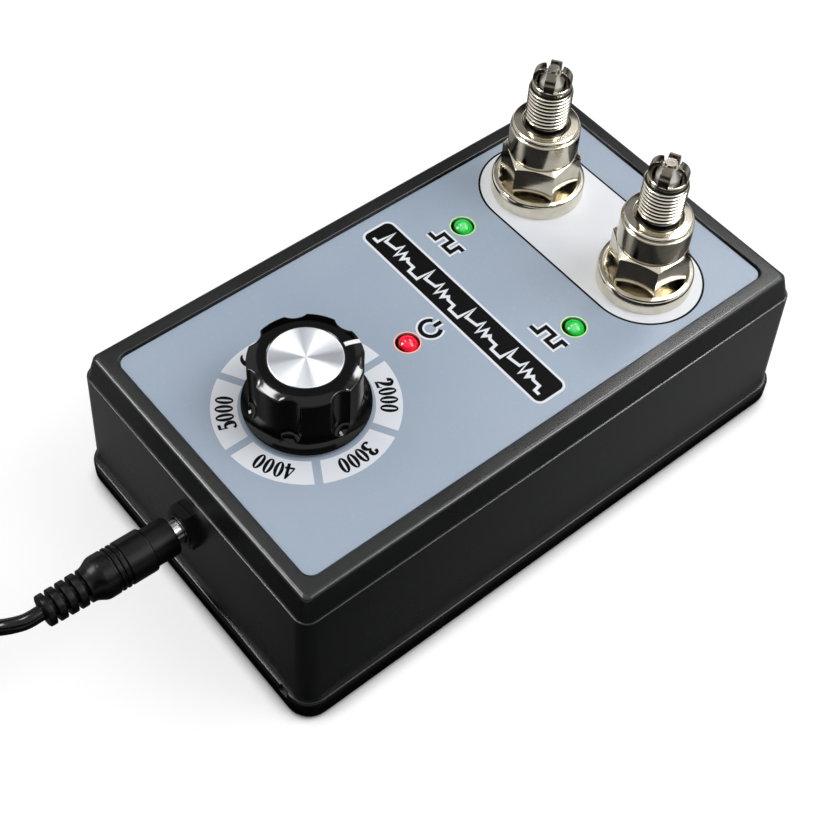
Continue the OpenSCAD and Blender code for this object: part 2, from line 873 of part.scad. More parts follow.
module at_plug(side) {
    translate([side * socket_x, socket_y, plug_z]) children();
}

thread_foot = gasket_z + gasket_t + 0.5;
thread_outline = [for (i = [0 : 2 * thread_turns])
    [i % 2 == 0 ? core_r : thread_d / 2, thread_foot + i * thread_pitch / 2]];
thread_top = thread_foot + thread_turns * thread_pitch;

module plug_shell(side, turn) {
    chamfer = 1;
    bore_r = waist_d / 2 + slip;
    seat = collar_z - 0.4;
    color("#d9d2c0") at_plug(side) difference() {
        union() {
            intersection() {
                rotate(turn) cylinder(h = hex_h, r = hex_r, $fn = 6);
                rotate_extrude() polygon([[0, 0], [hex_r - chamfer, 0], [hex_r, chamfer / 2],
                    [hex_r, hex_h - chamfer / 2], [hex_r - chamfer, hex_h], [0, hex_h]]);
            }
            rotate_extrude() polygon(concat(
                [[0, -crimp_h], [crimp_d / 2 - 1, -crimp_h], [crimp_d / 2, 1 - crimp_h],
                 [crimp_d / 2, eps], [neck_d / 2 - 0.6, eps], [neck_d / 2 - 0.6, hex_h - eps],
                 [neck_d / 2, hex_h], [neck_d / 2, collar_z], [collar_d / 2 - 0.2, collar_z],
                 [collar_d / 2, collar_z + 0.3], [collar_d / 2, gasket_z - 0.5],
                 [collar_d / 2 - 0.4, gasket_z], [core_r, gasket_z]],
                thread_outline,
                [[core_r, shell_end - 0.4], [core_r - 0.3, shell_end], [0, shell_end]]));
        }
        rod(insulator_d / 2 + slip, -crimp_h - 1, 1 + eps);
        rod(bore_r, 1, seat);
        rod(stem_r + 0.9, seat - eps, gasket_z);
        rod(mouth_r, gasket_z - eps, shell_end + 1);
    }
}

rib_steps = 4;
insulator_outline = concat(
    [[centre_d / 2 + slip, -insulator_l], [insulator_end_d / 2 - 0.5, -insulator_l],
     [insulator_end_d / 2, 0.6 - insulator_l]],
    [for (k = [0 : rib_n - 1], i = [0 : rib_steps])
        let (a = 180 * i / rib_steps, d = insulator_end_d + (insulator_d - insulator_end_d) * k / rib_n)
        [d / 2 + 0.45 * sin(a) - 0.2, 3 - insulator_l + (k + i / (rib_steps + 1)) * 2.2]],
    [[insulator_d / 2, -crimp_h - 1.6], [insulator_d / 2, 1 + slip], [waist_d / 2, 1 + slip],
     [waist_d / 2, collar_z - 1], [stem_r + 0.7, collar_z - 0.4 - slip], [stem_r, gasket_z],
     [nose_base_r, shell_end], [centre_d / 2 + nose_tip_wall, nose_top], [centre_d / 2 + slip, nose_top]]
);

module plug_insulator(side) {
    color("#f1efe8") at_plug(side) rotate_extrude() polygon(insulator_outline);
}

module plug_terminal(side) {
    stud_top = collar_z;
    color("#c9c9c4") at_plug(side) rotate_extrude() polygon([
        [0, -insulator_l - terminal_l], [terminal_d / 2 - 0.7, -insulator_l - terminal_l],
        [terminal_d / 2, 0.7 - insulator_l - terminal_l], [terminal_d / 2, 3 - insulator_l - terminal_l],
        [terminal_d / 2 - 0.8, 4 - insulator_l - terminal_l],
        [terminal_d / 2 - 0.8, 6 - insulator_l - terminal_l],
        [terminal_d / 2, 7 - insulator_l - terminal_l], [terminal_d / 2, -insulator_l - slip],
        [centre_d / 2, -insulator_l - slip], [centre_d / 2, stud_top], [0, stud_top]]);
}

module plug_centre(side) {
    color("#a9a5a0") at_plug(side) rod(centre_d / 2, collar_z + 0.5, shell_end + claw_h - electrode_drop);
}

// One ground electrode: a bar that stands on the shell's end and bends in over the centre electrode
module claw() {
    out_r = core_r - claw_inset;
    in_r = centre_d / 2 + claw_gap;
    bend_z = claw_h - claw_bend;
    rotate([90, 0, 0]) linear_extrude(claw_w, center = true) {
        translate([out_r - claw_t, 0]) square([claw_t, bend_z + eps]);
        translate([out_r - claw_bend, bend_z]) intersection() {
            difference() {
                circle(claw_bend);
                circle(claw_bend - claw_t);
            }
            square(claw_bend + 1);
        }
        translate([in_r, claw_h - claw_t]) square([max(eps, out_r - claw_bend - in_r + eps), claw_t]);
    }
}

module plug_claws(side, turn) {
    color("#b7b3ab") at_plug(side) for (k = [0 : claw_n - 1])
        rotate(turn + 360 * k / claw_n) translate([0, 0, shell_end]) claw();
}

module plug_gasket(side) {
    round_r = gasket_t / 2;
    in_r = thread_d / 2 + gasket_gap + round_r;
    out_r = gasket_d / 2 - round_r;
    color("#cfc9ba") at_plug(side) rotate_extrude() translate([0, gasket_z + round_r]) {
        translate([in_r, -round_r]) square([out_r - in_r, gasket_t]);
        translate([in_r, 0]) circle(round_r);
        translate([out_r, 0]) circle(round_r);
    }
}

// Turn of each plug's hexagon and ground electrodes about its axis
hex_turn_left = -24;
hex_turn_right = -35;
claw_turn_left = 35;
claw_turn_right = 27;

module plug_shell_left() { plug_shell(-1, hex_turn_left); }
module plug_shell_right() { plug_shell(1, hex_turn_right); }

// Power jack

module jack_body() {
    color("#17181a") at_jack() difference() {
        union() {
            rod(jack_neck_r, jack_pad_s - eps, jack_face_s);
            rod(jack_flange_r, jack_pad_s - jack_flange_t, jack_pad_s);
            rod(jack_rear_r, jack_rear_s, jack_pad_s - jack_flange_t + eps);
        }
        rod(jack_bore_r, jack_bore_s, jack_face_s + 1);
        rod(jack_pin_d / 2 + slip, jack_rear_s - 1, jack_bore_s + 1);
    }
}

module jack_contacts() {
    color("#c9c9c4") at_jack() {
        rod(jack_pin_d / 2, jack_rear_s, jack_pin_s);
        for (i = SIDES)
            translate([i * lug_x - 0.9, -lug_drop - 0.3, jack_rear_s - lug_l]) cube([1.8, 0.6, lug_l]);
    }
}

module jack_nut() {
    point_r = jack_nut_af / 2 / cos(30);
    color("#111214") at_jack() difference() {
        intersection() {
            translate([0, 0, slip]) rotate(jack_nut_turn)
                cylinder(h = jack_nut_t - slip, r = point_r, $fn = 6);
            cylinder(h = jack_nut_t + jack_nut_edge, r1 = point_r + 2 * (jack_nut_t - jack_nut_edge),
                r2 = point_r - 4 * jack_nut_edge);
        }
        rod(jack_neck_r + slip, -1, jack_nut_t + 1);
    }
}

// Each wire leaves its lug along the jack's axis and bends up to the board
module jack_wires() {
    lug_s = jack_rear_s - lug_l;
    wire_y = jack_y - lug_s * cos(wall_tilt) - lug_drop * sin(wall_tilt) + slip;
    wire_z = jack_axis_z + lug_s * sin(wall_tilt) - lug_drop * cos(wall_tilt);
    color("#9c1d1a") for (i = SIDES) translate([i * lug_x, wire_y, wire_z]) {
        translate([0, 0, wire_bend]) rotate([0, 90, 0])
            rotate_extrude(angle = 90) translate([wire_bend, 0]) circle(d = wire_d);
        translate([0, wire_bend, wire_bend - eps])
            cylinder(h = board_z - board_t - wire_z - wire_bend + eps, d = wire_d);
    }
}

// Lead

module lead_barrel() {
    color("#cfd1d3") at_jack() tube(barrel_d / 2, barrel_bore_d / 2, barrel_s, barrel_end_s);
}

shoulder_steps = 6;
plug_outline = concat(
    [[0, nose_s], [nose_d / 2 - 0.5, nose_s], [nose_d / 2, nose_s + 0.5], [nose_d / 2, grip_s],
     [plug_d / 2 - 0.4, grip_s + 0.1], [plug_d / 2, grip_s + 0.5]],
    [for (k = [0 : groove_n - 1], q = [[-0.4, 0], [-0.25, 1], [0.25, 1], [0.4, 0]])
        [plug_d / 2 - groove_depth * q[1], groove_s + k * groove_pitch + q[0]]],
    [for (i = [0 : shoulder_steps])
        let (u = i / shoulder_steps)
        [relief_r + (plug_d / 2 - relief_r) * (1 + cos(180 * u)) / 2, shoulder_s + (relief_s - shoulder_s) * u]],
    [for (k = [0 : relief_rib_n - 1],
        q = [[relief_edge, 0], [relief_slot_w - relief_edge, 0],
             [relief_slot_w + relief_edge, 1], [rib_pitch - relief_edge, 1]])
        [relief_groove_r + (relief_slot_depth - relief_taper * k) * q[1], relief_s + k * rib_pitch + q[0]]],
    [[relief_groove_r, relief_end_s], [0, relief_end_s]]
);

module lead_plug() {
    color("#1e1f21") at_jack() difference() {
        rotate_extrude() polygon(plug_outline);
        rod(barrel_d / 2 + slip, nose_s - 1, barrel_end_s);
    }
}

// Every run of the cord ends in a straight of one diameter
one_d = [cord_d, 0, 0];
adapter_inlet = [adapter_relief_x, adapter_y, adapter_z];
drop_route = concat([relief_end, relief_end + cord_d * jack_out], drop_points,
    [coil_start + 2 * one_d, coil_start + one_d]);
tail_route = concat([coil_end + one_d, coil_end + 2 * one_d], tail_points,
    [adapter_inlet - one_d, adapter_inlet]);

module power_cord() {
    color("#161719") swept_tube(drop_route, cord_r, cord_sides);
}

module cord_tail() {
    color("#161719") swept_tube(tail_route, cord_r, cord_sides);
}

// The coil spirals in and out again, and climbs a layer in the half turn about each reversal
function ease(x) = let (u = min(1, max(0, x))) u * u * (3 - 2 * u);
function coil_r_at(t) =
    let (u = t / layer_turns, k = min(floor(u), layer_n - 1), f = u - k)
    k % 2 == 0 ? coil_out_r - coil_pitch * layer_turns * f : coil_in_r + coil_pitch * layer_turns * f;
function coil_rise(t, j) = j < layer_n ? ease((t - j * layer_turns + 0.25) / 0.5) + coil_rise(t, j + 1) : 0;
function coil_point(t) =
    [coil_at[0] + coil_r_at(t) * cos(90 + 360 * t),
     coil_at[1] + coil_r_at(t) * sin(90 + 360 * t),
     coil_z + coil_pitch * coil_rise(t, 1)];
coil_path = concat(
    [coil_start + one_d],
    [for (i = [0 : turn_n * rings_per_turn]) coil_point(i / rings_per_turn)],
    [coil_end + one_d]
);
coil_gap = min([for (i = [0 : len(coil_path) - 1], j = [i + rings_per_turn / 2 : 1 : len(coil_path) - 1])
    norm(coil_path[i] - coil_path[j])]) - cord_d;
echo(least_gap_of_the_coil_to_itself = coil_gap);

module cord_coil() {
    color("#161719") swept_tube(coil_path, cord_r, coil_sides);
}

module cord_tie() {
    in_w = coil_out_r - coil_in_r + cord_d + 2 * clear;
    in_h = coil_top_z - coil_z + cord_d + clear;
    mid_r = (coil_out_r + coil_in_r) / 2;
    color("#2a2b2d") translate([coil_at[0], coil_at[1], 0]) rotate(tie_deg)
        translate([mid_r, tie_w / 2, tie_t + in_h / 2]) rotate([90, 0, 0]) difference() {
            rounded_slab(in_w + 2 * tie_t, in_h + 2 * tie_t, tie_w, 1.5);
            translate([0, 0, -1]) rounded_slab(in_w, in_h, tie_w + 2, 0.8);
        }
}

module at_adapter() {
    translate([adapter_x + adapter_l / 2, adapter_y, 0]) children();
}

module adapter_case() {
    color("#1b1c1e") at_adapter() difference() {
        rounded_slab(adapter_l, adapter_w, adapter_d - adapter_lid_h, adapter_r);
        translate([0, 0, adapter_t]) rounded_slab(adapter_l - 2 * adapter_t, adapter_w - 2 * adapter_t,
            adapter_d, adapter_r - adapter_t);
    }
}

module adapter_lid() {
    color("#1b1c1e") at_adapter() difference() {
        translate([0, 0, adapter_d - adapter_lid_h])
            rounded_slab(adapter_l, adapter_w, adapter_lid_h, adapter_r);
        translate([0, 0, adapter_d - adapter_lid_h - 1]) rounded_slab(adapter_l - 2 * adapter_t,
            adapter_w - 2 * adapter_t, adapter_lid_h - adapter_t + 1, adapter_r - adapter_t);
        for (i = SIDES) translate([adapter_l / 5, i * pin_pitch / 2, 0])
            rod(pin_boss_r + slip, adapter_d - adapter_lid_h, adapter_d + 1);
    }
}

module adapter_pins() {
    root = 2;
    color("#cfcabb") at_adapter() for (i = SIDES) translate([adapter_l / 5, i * pin_pitch / 2, 0]) {
        rod(pin_boss_r, adapter_d - adapter_t - root, adapter_d);
        rod(pin_d / 2, adapter_d - eps, adapter_d + pin_l - 1);
        translate([0, 0, adapter_d + pin_l - 1 - eps]) cylinder(h = 1, r1 = pin_d / 2, r2 = pin_d / 2 - 1);
    }
}

module adapter_supply() {
    color("#3c3226") at_adapter() translate([0, 0, adapter_t])
        rounded_slab(adapter_l - 2 * adapter_t - 2 * clear, adapter_w - 2 * adapter_t - 2 * clear,
            adapter_d - adapter_lid_h - adapter_t, adapter_r - adapter_t - clear);
}

module adapter_relief() {
    color("#161719") translate(adapter_inlet) rotate([0, 90, 0]) rotate_extrude()
        polygon([[0, 0], [cord_r + 0.8, 0], [cord_r + 2, adapter_relief_l], [0, adapter_relief_l]]);
}

upper_case();
base_cover();
base_screws();
front_label();
socket_ring(-socket_x);  // socket_ring_left
socket_ring(socket_x);  // socket_ring_right
socket_nuts();
ground_strap();
contact_cups();
contact_springs();
contact_buttons();
ignition_coil(-socket_x);  // ignition_coil_left
ignition_coil(socket_x);  // ignition_coil_right
coil_pins();
hv_leads();
circuit_board();
board_screws();
timer_chip();
board_components();
drive_transistors();
power_lamp();
signal_lamp_left();
signal_lamp_right();
lamp_legs();
pot_case();
pot_bushing();
pot_nut();
pot_track();
jack_body();
jack_contacts();
jack_nut();
jack_wires();
knob();
knob_cap();
knob_grub_screw();
pot_shaft();
pot_wiper();
plug_shell_left();
plug_insulator(-1);  // plug_insulator_left
plug_terminal(-1);  // plug_terminal_left
plug_centre(-1);  // plug_centre_left
plug_claws(-1, claw_turn_left);  // plug_claws_left
plug_gasket(-1);  // plug_gasket_left
plug_shell_right();
plug_insulator(1);  // plug_insulator_right
plug_terminal(1);  // plug_terminal_right
plug_centre(1);  // plug_centre_right
plug_claws(1, claw_turn_right);  // plug_claws_right
plug_gasket(1);  // plug_gasket_right
lead_barrel();
lead_plug();
power_cord();
cord_coil();
cord_tail();
cord_tie();
adapter_case();
adapter_lid();
adapter_pins();
adapter_supply();
adapter_relief();
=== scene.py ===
"""Spark plug tester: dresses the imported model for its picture.

Shapes are worked out in millimetres in the part's own frame: +Z is up, +Y runs towards the plug sockets,
and the origin is the middle of the underside. Each piece is built in place, so its object coordinates are
that frame.
"""

import json
import math

import bmesh
import bpy
from mathutils import Matrix, Vector

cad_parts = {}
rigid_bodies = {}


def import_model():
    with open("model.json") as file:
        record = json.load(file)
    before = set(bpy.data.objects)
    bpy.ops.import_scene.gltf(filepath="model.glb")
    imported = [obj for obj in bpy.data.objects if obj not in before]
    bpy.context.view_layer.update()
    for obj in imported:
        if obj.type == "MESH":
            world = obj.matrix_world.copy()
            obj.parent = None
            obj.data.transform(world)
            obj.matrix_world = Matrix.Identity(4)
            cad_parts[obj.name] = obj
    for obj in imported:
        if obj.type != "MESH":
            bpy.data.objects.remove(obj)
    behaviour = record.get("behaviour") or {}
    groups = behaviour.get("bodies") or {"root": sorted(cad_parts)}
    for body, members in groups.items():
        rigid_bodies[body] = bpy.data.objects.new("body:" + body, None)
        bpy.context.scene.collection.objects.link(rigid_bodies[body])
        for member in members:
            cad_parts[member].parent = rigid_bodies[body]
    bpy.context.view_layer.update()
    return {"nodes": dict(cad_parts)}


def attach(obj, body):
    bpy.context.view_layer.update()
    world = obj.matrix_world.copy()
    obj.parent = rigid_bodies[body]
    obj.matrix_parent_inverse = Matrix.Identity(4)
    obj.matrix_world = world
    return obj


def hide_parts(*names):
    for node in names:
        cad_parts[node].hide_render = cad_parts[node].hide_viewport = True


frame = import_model()

MM = 0.001
SIDES = (-1, 1)
SIDE_NAMES = {-1: "left", 1: "right"}

# Levels and places of the part
FLANGE_Z = 6.8
LEDGE_Z = 37.7
RIM_Z = 43.8
LABEL_Z = 43.15
LABEL_SEAT_Z = 42.65
CEILING_Z = 40.15
SOCKET_X, SOCKET_Y = 18.1, 42.4
KNOB_Y = -39.6
KNOB_FOOT, KNOB_TOP = 44.05, 59.15
POINTER_DEG = 76
POWER_LAMP = (0, -12.1)
SIGNAL_LAMP_X, SIGNAL_LAMP_Y = 19, 20
LAMP_RISE = 1.2
LAMPS = (POWER_LAMP, (-SIGNAL_LAMP_X, SIGNAL_LAMP_Y), (SIGNAL_LAMP_X, SIGNAL_LAMP_Y))
PLUG_Z = 44.65
JACK_AT = Vector((0, -71.267, 26.6))
JACK_OUT = Vector((0, -0.999116, 0.042034))
JACK = Matrix.Translation(JACK_AT) @ Vector((0, 0, 1)).rotation_difference(JACK_OUT).to_matrix().to_4x4()
CORD_R = 1.7
LEAD_END = 35.3


# Small tools for points, shapes and pieces

def ease(x):
    u = min(1.0, max(0.0, x))
    return u * u * (3 - 2 * u)


def through(points, steps):
    """A smooth run through all the points, each of any number of parts."""
    run = []
    last = len(points) - 1
    for i in range(last):
        a, b = points[max(i - 1, 0)], points[i]
        c, d = points[i + 1], points[min(i + 2, last)]
        for k in range(steps):
            t = k / steps
            run.append(tuple(
                0.5 * (2 * q + (r - p) * t + (2 * p - 5 * q + 4 * r - s) * t * t
                       + (3 * q - p - 3 * r + s) * t ** 3)
                for p, q, r, s in zip(a, b, c, d)))
    run.append(tuple(points[last]))
    return run


def eased(path, cuts, steps=4):
    """The path with the corners in cuts rounded off; a length is over a point's first and last parts."""
    run = []
    for i, point in enumerate(path):
        if i not in cuts:
            run.append(tuple(point))
            continue
        ends = []
        for other in (path[i - 1], path[i + 1]):
            span = math.hypot(other[0] - point[0], other[-1] - point[-1])
            share = min(0.5, cuts[i] / span)
            ends.append([p + (q - p) * share for p, q in zip(point, other)])
        for k in range(steps + 1):
            t = k / steps
            run.append(tuple((1 - t) ** 2 * a + 2 * t * (1 - t) * p + t * t * b
                             for a, p, b in zip(ends[0], point, ends[1])))
    return run


def rounded_loop(half_w, half_l, r, z, per_corner=8):
    loop = []
    for k, (x, y) in enumerate(((1, 1), (-1, 1), (-1, -1), (1, -1))):
        for i in range(per_corner + 1):
            a = math.radians(90 * (k + i / per_corner))
            loop.append((x * (half_w - r) + r * math.cos(a), y * (half_l - r) + r * math.sin(a), z))
    return loop


def ring(r, z, n):
    return [(r * math.cos(math.tau * k / n), r * math.sin(math.tau * k / n), z) for k in range(n)]


def loft(loops, caps=True):
    """A skin over loops of equal length, closed at both ends where caps is true."""
    n = len(loops[0])
    verts = [p for loop in loops for p in loop]
    faces = []
    for i in range(len(loops) - 1):
        for k in range(n):
            a, b = i * n + k, i * n + (k + 1) % n
            faces.append((a, b, b + n, a + n))
    if caps:
        faces.append(tuple(range(n - 1, -1, -1)))
        faces.append(tuple(range(len(verts) - n, len(verts))))
    return verts, faces


def lathe(profile, n=96, caps=True):
    """A turned shape from (radius, height) points."""
    return loft([ring(max(r, 1e-3), z, n) for r, z in profile], caps)


def merged(shape):
    """The shape with points that coincide made one, and without the faces that come to nothing."""
    places, index, faces = {}, [], []
    for p in shape[0]:
        index.append(places.setdefault(tuple(round(c, 4) for c in p), len(places)))
    for polygon in shape[1]:
        face = list(dict.fromkeys(index[i] for i in polygon))
        if len(face) > 2:
            faces.append(tuple(face))
    return list(places), faces


def hollow(profile, n=96):
    """A turned shape whose profile closes on itself."""
    return merged(lathe(profile + profile[:1], n, caps=False))


def moved(shape, matrix):
    return [tuple(matrix @ Vector(p)) for p in shape[0]], shape[1]


def at(x, y, z=0):
    return Matrix.Translation((x, y, z))


def spun(degrees, axis="Z"):
    return Matrix.Rotation(math.radians(degrees), 4, axis)


def joined(*shapes):
    verts, faces = [], []
    for points, polygons in shapes:
        start = len(verts)
        verts += points
        faces += [tuple(start + i for i in polygon) for polygon in polygons]
    return verts, faces


def solid(name, shape):
    """An object of the shape, with its normals outwards."""
    mesh = bpy.data.meshes.new(name)
    mesh.from_pydata([[c * MM for c in p] for p in shape[0]], [], shape[1])
    work = bmesh.new()
    work.from_mesh(mesh)
    bmesh.ops.recalc_face_normals(work, faces=work.faces)
    work.to_mesh(mesh)
    work.free()
    made = bpy.data.objects.new(name, mesh)
    bpy.context.collection.objects.link(made)
    return made


def evaluated(made):
    """The mesh of an object with its modifiers applied."""
    graph = bpy.context.evaluated_depsgraph_get()
    return bpy.data.meshes.new_from_object(made.evaluated_get(graph))


def taken(made):
    """The shape of an object as its modifiers leave it; the object goes."""
    mesh = evaluated(made)
    shape = [tuple(v.co / MM) for v in mesh.vertices], [tuple(p.vertices) for p in mesh.polygons]
    bpy.data.batch_remove([mesh, made.data, made])
    return shape


def carve(made, shape, operation="DIFFERENCE"):
    """Cuts the shape out of an object, or keeps only what both share."""
    tool = solid("cutter", shape)
    change = made.modifiers.new("cut", "BOOLEAN")
    change.operation = operation
    change.solver = "EXACT"
    change.object = tool
    result = evaluated(made)
    made.modifiers.clear()
    before, made.data = made.data, result
    result.name = made.name
    bpy.data.meshes.remove(before)
    bpy.data.meshes.remove(tool.data)


def placed(made, finish, body, nodes=(), sharp_deg=32):
    """Gives an object its finish and shading, and ties it to its body and to the nodes that it stands for."""
    mesh = made.data
    mesh.materials.clear()
    mesh.materials.append(finish)
    mesh.shade_smooth()
    mesh.set_sharp_from_angle(angle=math.radians(sharp_deg))
    level = made.modifiers.new("even shading", "WEIGHTED_NORMAL")
    level.keep_sharp = True
    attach(made, body)
    if nodes:
        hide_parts(*nodes)
    return made


# Camera, measured from the photograph's vanishing lines and the 16 mm hexagons

def aim_camera():
    data = bpy.data.cameras.new("view")
    data.lens = 68.0
    data.sensor_width = 36.0
    data.clip_start = 0.01
    camera = bpy.data.objects.new("view", data)
    bpy.context.collection.objects.link(camera)
    right = Vector((0.63322, 0.772977, 0.039231))
    up = Vector((-0.637453, 0.49211, 0.592859))
    back = Vector((0.43896, -0.400418, 0.80435))
    camera.matrix_world = Matrix.Translation((0.1569, -0.1538, 0.30535)) @ Matrix(
        (right, up, back)).transposed().to_4x4()
    bpy.context.scene.camera = camera


aim_camera()


# Finishes

def linear(code):
    """An sRGB hex colour as linear red, green, blue and alpha."""
    parts = [int(code[i:i + 2], 16) / 255 for i in (1, 3, 5)]
    return [c / 12.92 if c <= 0.04045 else ((c + 0.055) / 1.055) ** 2.4 for c in parts] + [1.0]


def wire(tree, target, inputs):
    for key, value in inputs.items():
        if isinstance(value, bpy.types.NodeSocket):
            tree.links.new(value, target.inputs[key])
        else:
            target.inputs[key].default_value = value


def node(tree, kind, inputs, ramp=(), **settings):
    """Adds a node; an input is a plain value or another node's output, and a ramp is places and colours."""
    made = tree.nodes.new(kind)
    for key, value in settings.items():
        setattr(made, key, value)
    for k, (position, code) in enumerate(ramp):
        made.color_ramp.elements[k].position = position
        made.color_ramp.elements[k].color = linear(code)
    wire(tree, made, inputs)
    return made


def per_mm(size):
    """The scale at which a pattern in object coordinates has features of that size in millimetres."""
    return 1000 / size


# The lines of a wave pattern lie this far apart at a scale of 1
WAVE = math.tau / 20


def start(name):
    """A new finish: its material, its node tree, its shader and the object coordinates."""
    made = bpy.data.materials.new(name)
    made.use_nodes = True
    tree = made.node_tree
    place = node(tree, "ShaderNodeTexCoord", {}).outputs["Object"]
    return made, tree, tree.nodes["Principled BSDF"], place


def grained(name, dark, light, rough, grain_mm, depth_mm, patch_mm, ior=1.5, metal=0.0, shine=0.5):
    """A finish whose colour drifts between two tones and whose roughness follows, over a fine grain.

    The grain has a size and a depth, and patch_mm is the size of the patches over which the tone drifts.
    """
    made, tree, shader, place = start(name)
    patch = node(tree, "ShaderNodeTexNoise", {"Vector": place, "Scale": per_mm(patch_mm), "Detail": 4.0})
    grain = node(tree, "ShaderNodeTexNoise", {"Vector": place, "Scale": per_mm(grain_mm), "Detail": 2.0})
    tone = node(tree, "ShaderNodeValToRGB", {"Fac": patch.outputs["Fac"]}, ramp=((0.3, dark), (0.7, light)))
    sheen = node(tree, "ShaderNodeMapRange", {
        "Value": patch.outputs["Fac"], "From Min": 0.3, "From Max": 0.7, "To Min": rough[0],
        "To Max": rough[1]})
    relief = node(tree, "ShaderNodeBump", {
        "Height": grain.outputs["Fac"], "Strength": 1.0, "Distance": depth_mm * MM})
    wire(tree, shader, {
        "Base Color": tone.outputs["Color"], "Roughness": sheen.outputs["Result"],
        "Normal": relief.outputs["Normal"], "Metallic": metal, "IOR": ior, "Specular IOR Level": shine})
    return made


# Black ABS, moulded in a spark-eroded tool: a satin skin. The real grain is about 0.1 mm, too fine to show,
# so it is drawn at 0.45 mm.
CASE_ABS = grained("black ABS, satin moulded", "#0e0f10", "#131415", (0.24, 0.3), 0.45, 0.0012, 24, ior=1.54,
                   shine=0.4)
# The same ABS from a plainer tool, darker under the case: painted shade.
SHADED_BASE_ABS = grained("black ABS, base moulding", "#070808", "#0a0b0b", (0.24, 0.3), 0.45, 0.0012, 24, ior=1.54,
                   shine=0.3)
# Phenolic, polished in the mould: deep black with hard, clean highlights.
KNOB_PHENOLIC = grained("black phenolic, polished", "#040405", "#060607", (0.07, 0.1), 1.2, 0.0004, 9,
                        ior=1.6, shine=0.22)
# PVC over the plug and its strain relief: semi-gloss, with the slight drag of its mould.
LEAD_PVC = grained("black PVC, moulded plug", "#040404", "#070808", (0.3, 0.38), 0.6, 0.004, 6, ior=1.53,
                   shine=0.13)
# PVC drawn over the wires: a glossy sleeve with faint ripples along it.
CORD_PVC = grained("black PVC, drawn cord", "#050606", "#090a0a", (0.14, 0.2), 2.2, 0.006, 12, ior=1.53,
                   shine=0.25)
# Nylon of the jack and its ring nut: dull black.
JACK_NYLON = grained("black nylon, moulded jack", "#050606", "#080909", (0.3, 0.4), 0.5, 0.003, 8, ior=1.53,
                     shine=0.2)
# Polycarbonate of the wall adapter: black, finely frosted.
ADAPTER_PC = grained("black polycarbonate, frosted", "#131416", "#191a1d", (0.42, 0.52), 0.5, 0.008, 20,
                     ior=1.58)
# Alumina, glazed and fired: warm white with a faint mottling.
CERAMIC = grained("alumina, glazed white", "#ece8de", "#f4f2ec", (0.12, 0.2), 1.5, 0.002, 5, ior=1.65)
# Electrode alloy, drawn and cut: grey with a soft sheen.
ELECTRODE = grained("nickel alloy electrode, drawn", "#b3aca0", "#cbc5ba", (0.2, 0.32), 0.5, 0.004, 2.5,
                    metal=1.0)
# The claws' alloy, bent: the same alloy as the electrode, painted a darker grey as shade.
SHADED_CLAW_ALLOY = grained("nickel alloy claws, painted shade", "#666157", "#7b756a", (0.18, 0.28), 0.5, 0.004, 2.5,
                     metal=1.0)
# Steel, turned and zinc plated.
SCREW_STEEL = grained("zinc plated steel, turned", "#a9abad", "#bcbec0", (0.24, 0.36), 0.5, 0.003, 4,
                      metal=1.0)
DARK_STEEL = grained("blackened steel, turned", "#2c2d2f", "#3a3b3d", (0.3, 0.42), 0.5, 0.003, 3, metal=1.0)
SPRING_STEEL = grained("spring steel, drawn wire", "#9fa1a4", "#b6b8ba", (0.22, 0.32), 0.4, 0.003, 3,
                       metal=1.0)
STAMPED_STEEL = grained("tinned steel, stamped", "#b2b4b5", "#c4c6c7", (0.28, 0.4), 0.6, 0.003, 5, metal=1.0)
BRASS = grained("brass, rolled sheet", "#b98d45", "#cda25a", (0.22, 0.36), 0.7, 0.003, 6, metal=1.0)
BARREL_NICKEL = grained("nickel plated brass, drawn", "#cfcdc8", "#dcdad5", (0.12, 0.2), 0.6, 0.002, 4,
                        metal=1.0)
TINNED = grained("tinned copper legs", "#bdbdb8", "#cfcfca", (0.28, 0.4), 0.5, 0.003, 3, metal=1.0)
# Plastics and resins inside the box.
NYLON = grained("natural nylon, turned", "#e2dccb", "#ece7d9", (0.35, 0.48), 0.6, 0.006, 6, ior=1.53)
EPOXY = grained("black epoxy, potted", "#1c1e21", "#26282b", (0.3, 0.5), 0.8, 0.01, 8, ior=1.55)
CHIP_EPOXY = grained("black epoxy, moulded chip", "#191a1c", "#222325", (0.5, 0.6), 0.3, 0.004, 3, ior=1.55)
BOARD_GLASS = grained("glass epoxy board, green resist", "#195c33", "#237446", (0.24, 0.36), 0.7, 0.006, 5,
                      ior=1.55)
CAN_SLEEVE = grained("blue PVC sleeve", "#263a70", "#31477f", (0.25, 0.35), 0.6, 0.003, 4, ior=1.53)
WIRE_RED = grained("red PVC wire", "#8c1917", "#a3221f", (0.28, 0.38), 0.6, 0.004, 5, ior=1.53)
PAXOLIN = grained("phenolic paper board", "#5d3f25", "#754f30", (0.4, 0.55), 0.5, 0.004, 3, ior=1.55)
POTTING = grained("brown potting resin", "#342b20", "#433829", (0.3, 0.45), 0.9, 0.01, 7, ior=1.55)
TIE_NYLON = grained("black nylon tie", "#202123", "#2a2b2d", (0.32, 0.42), 0.5, 0.006, 6, ior=1.53)


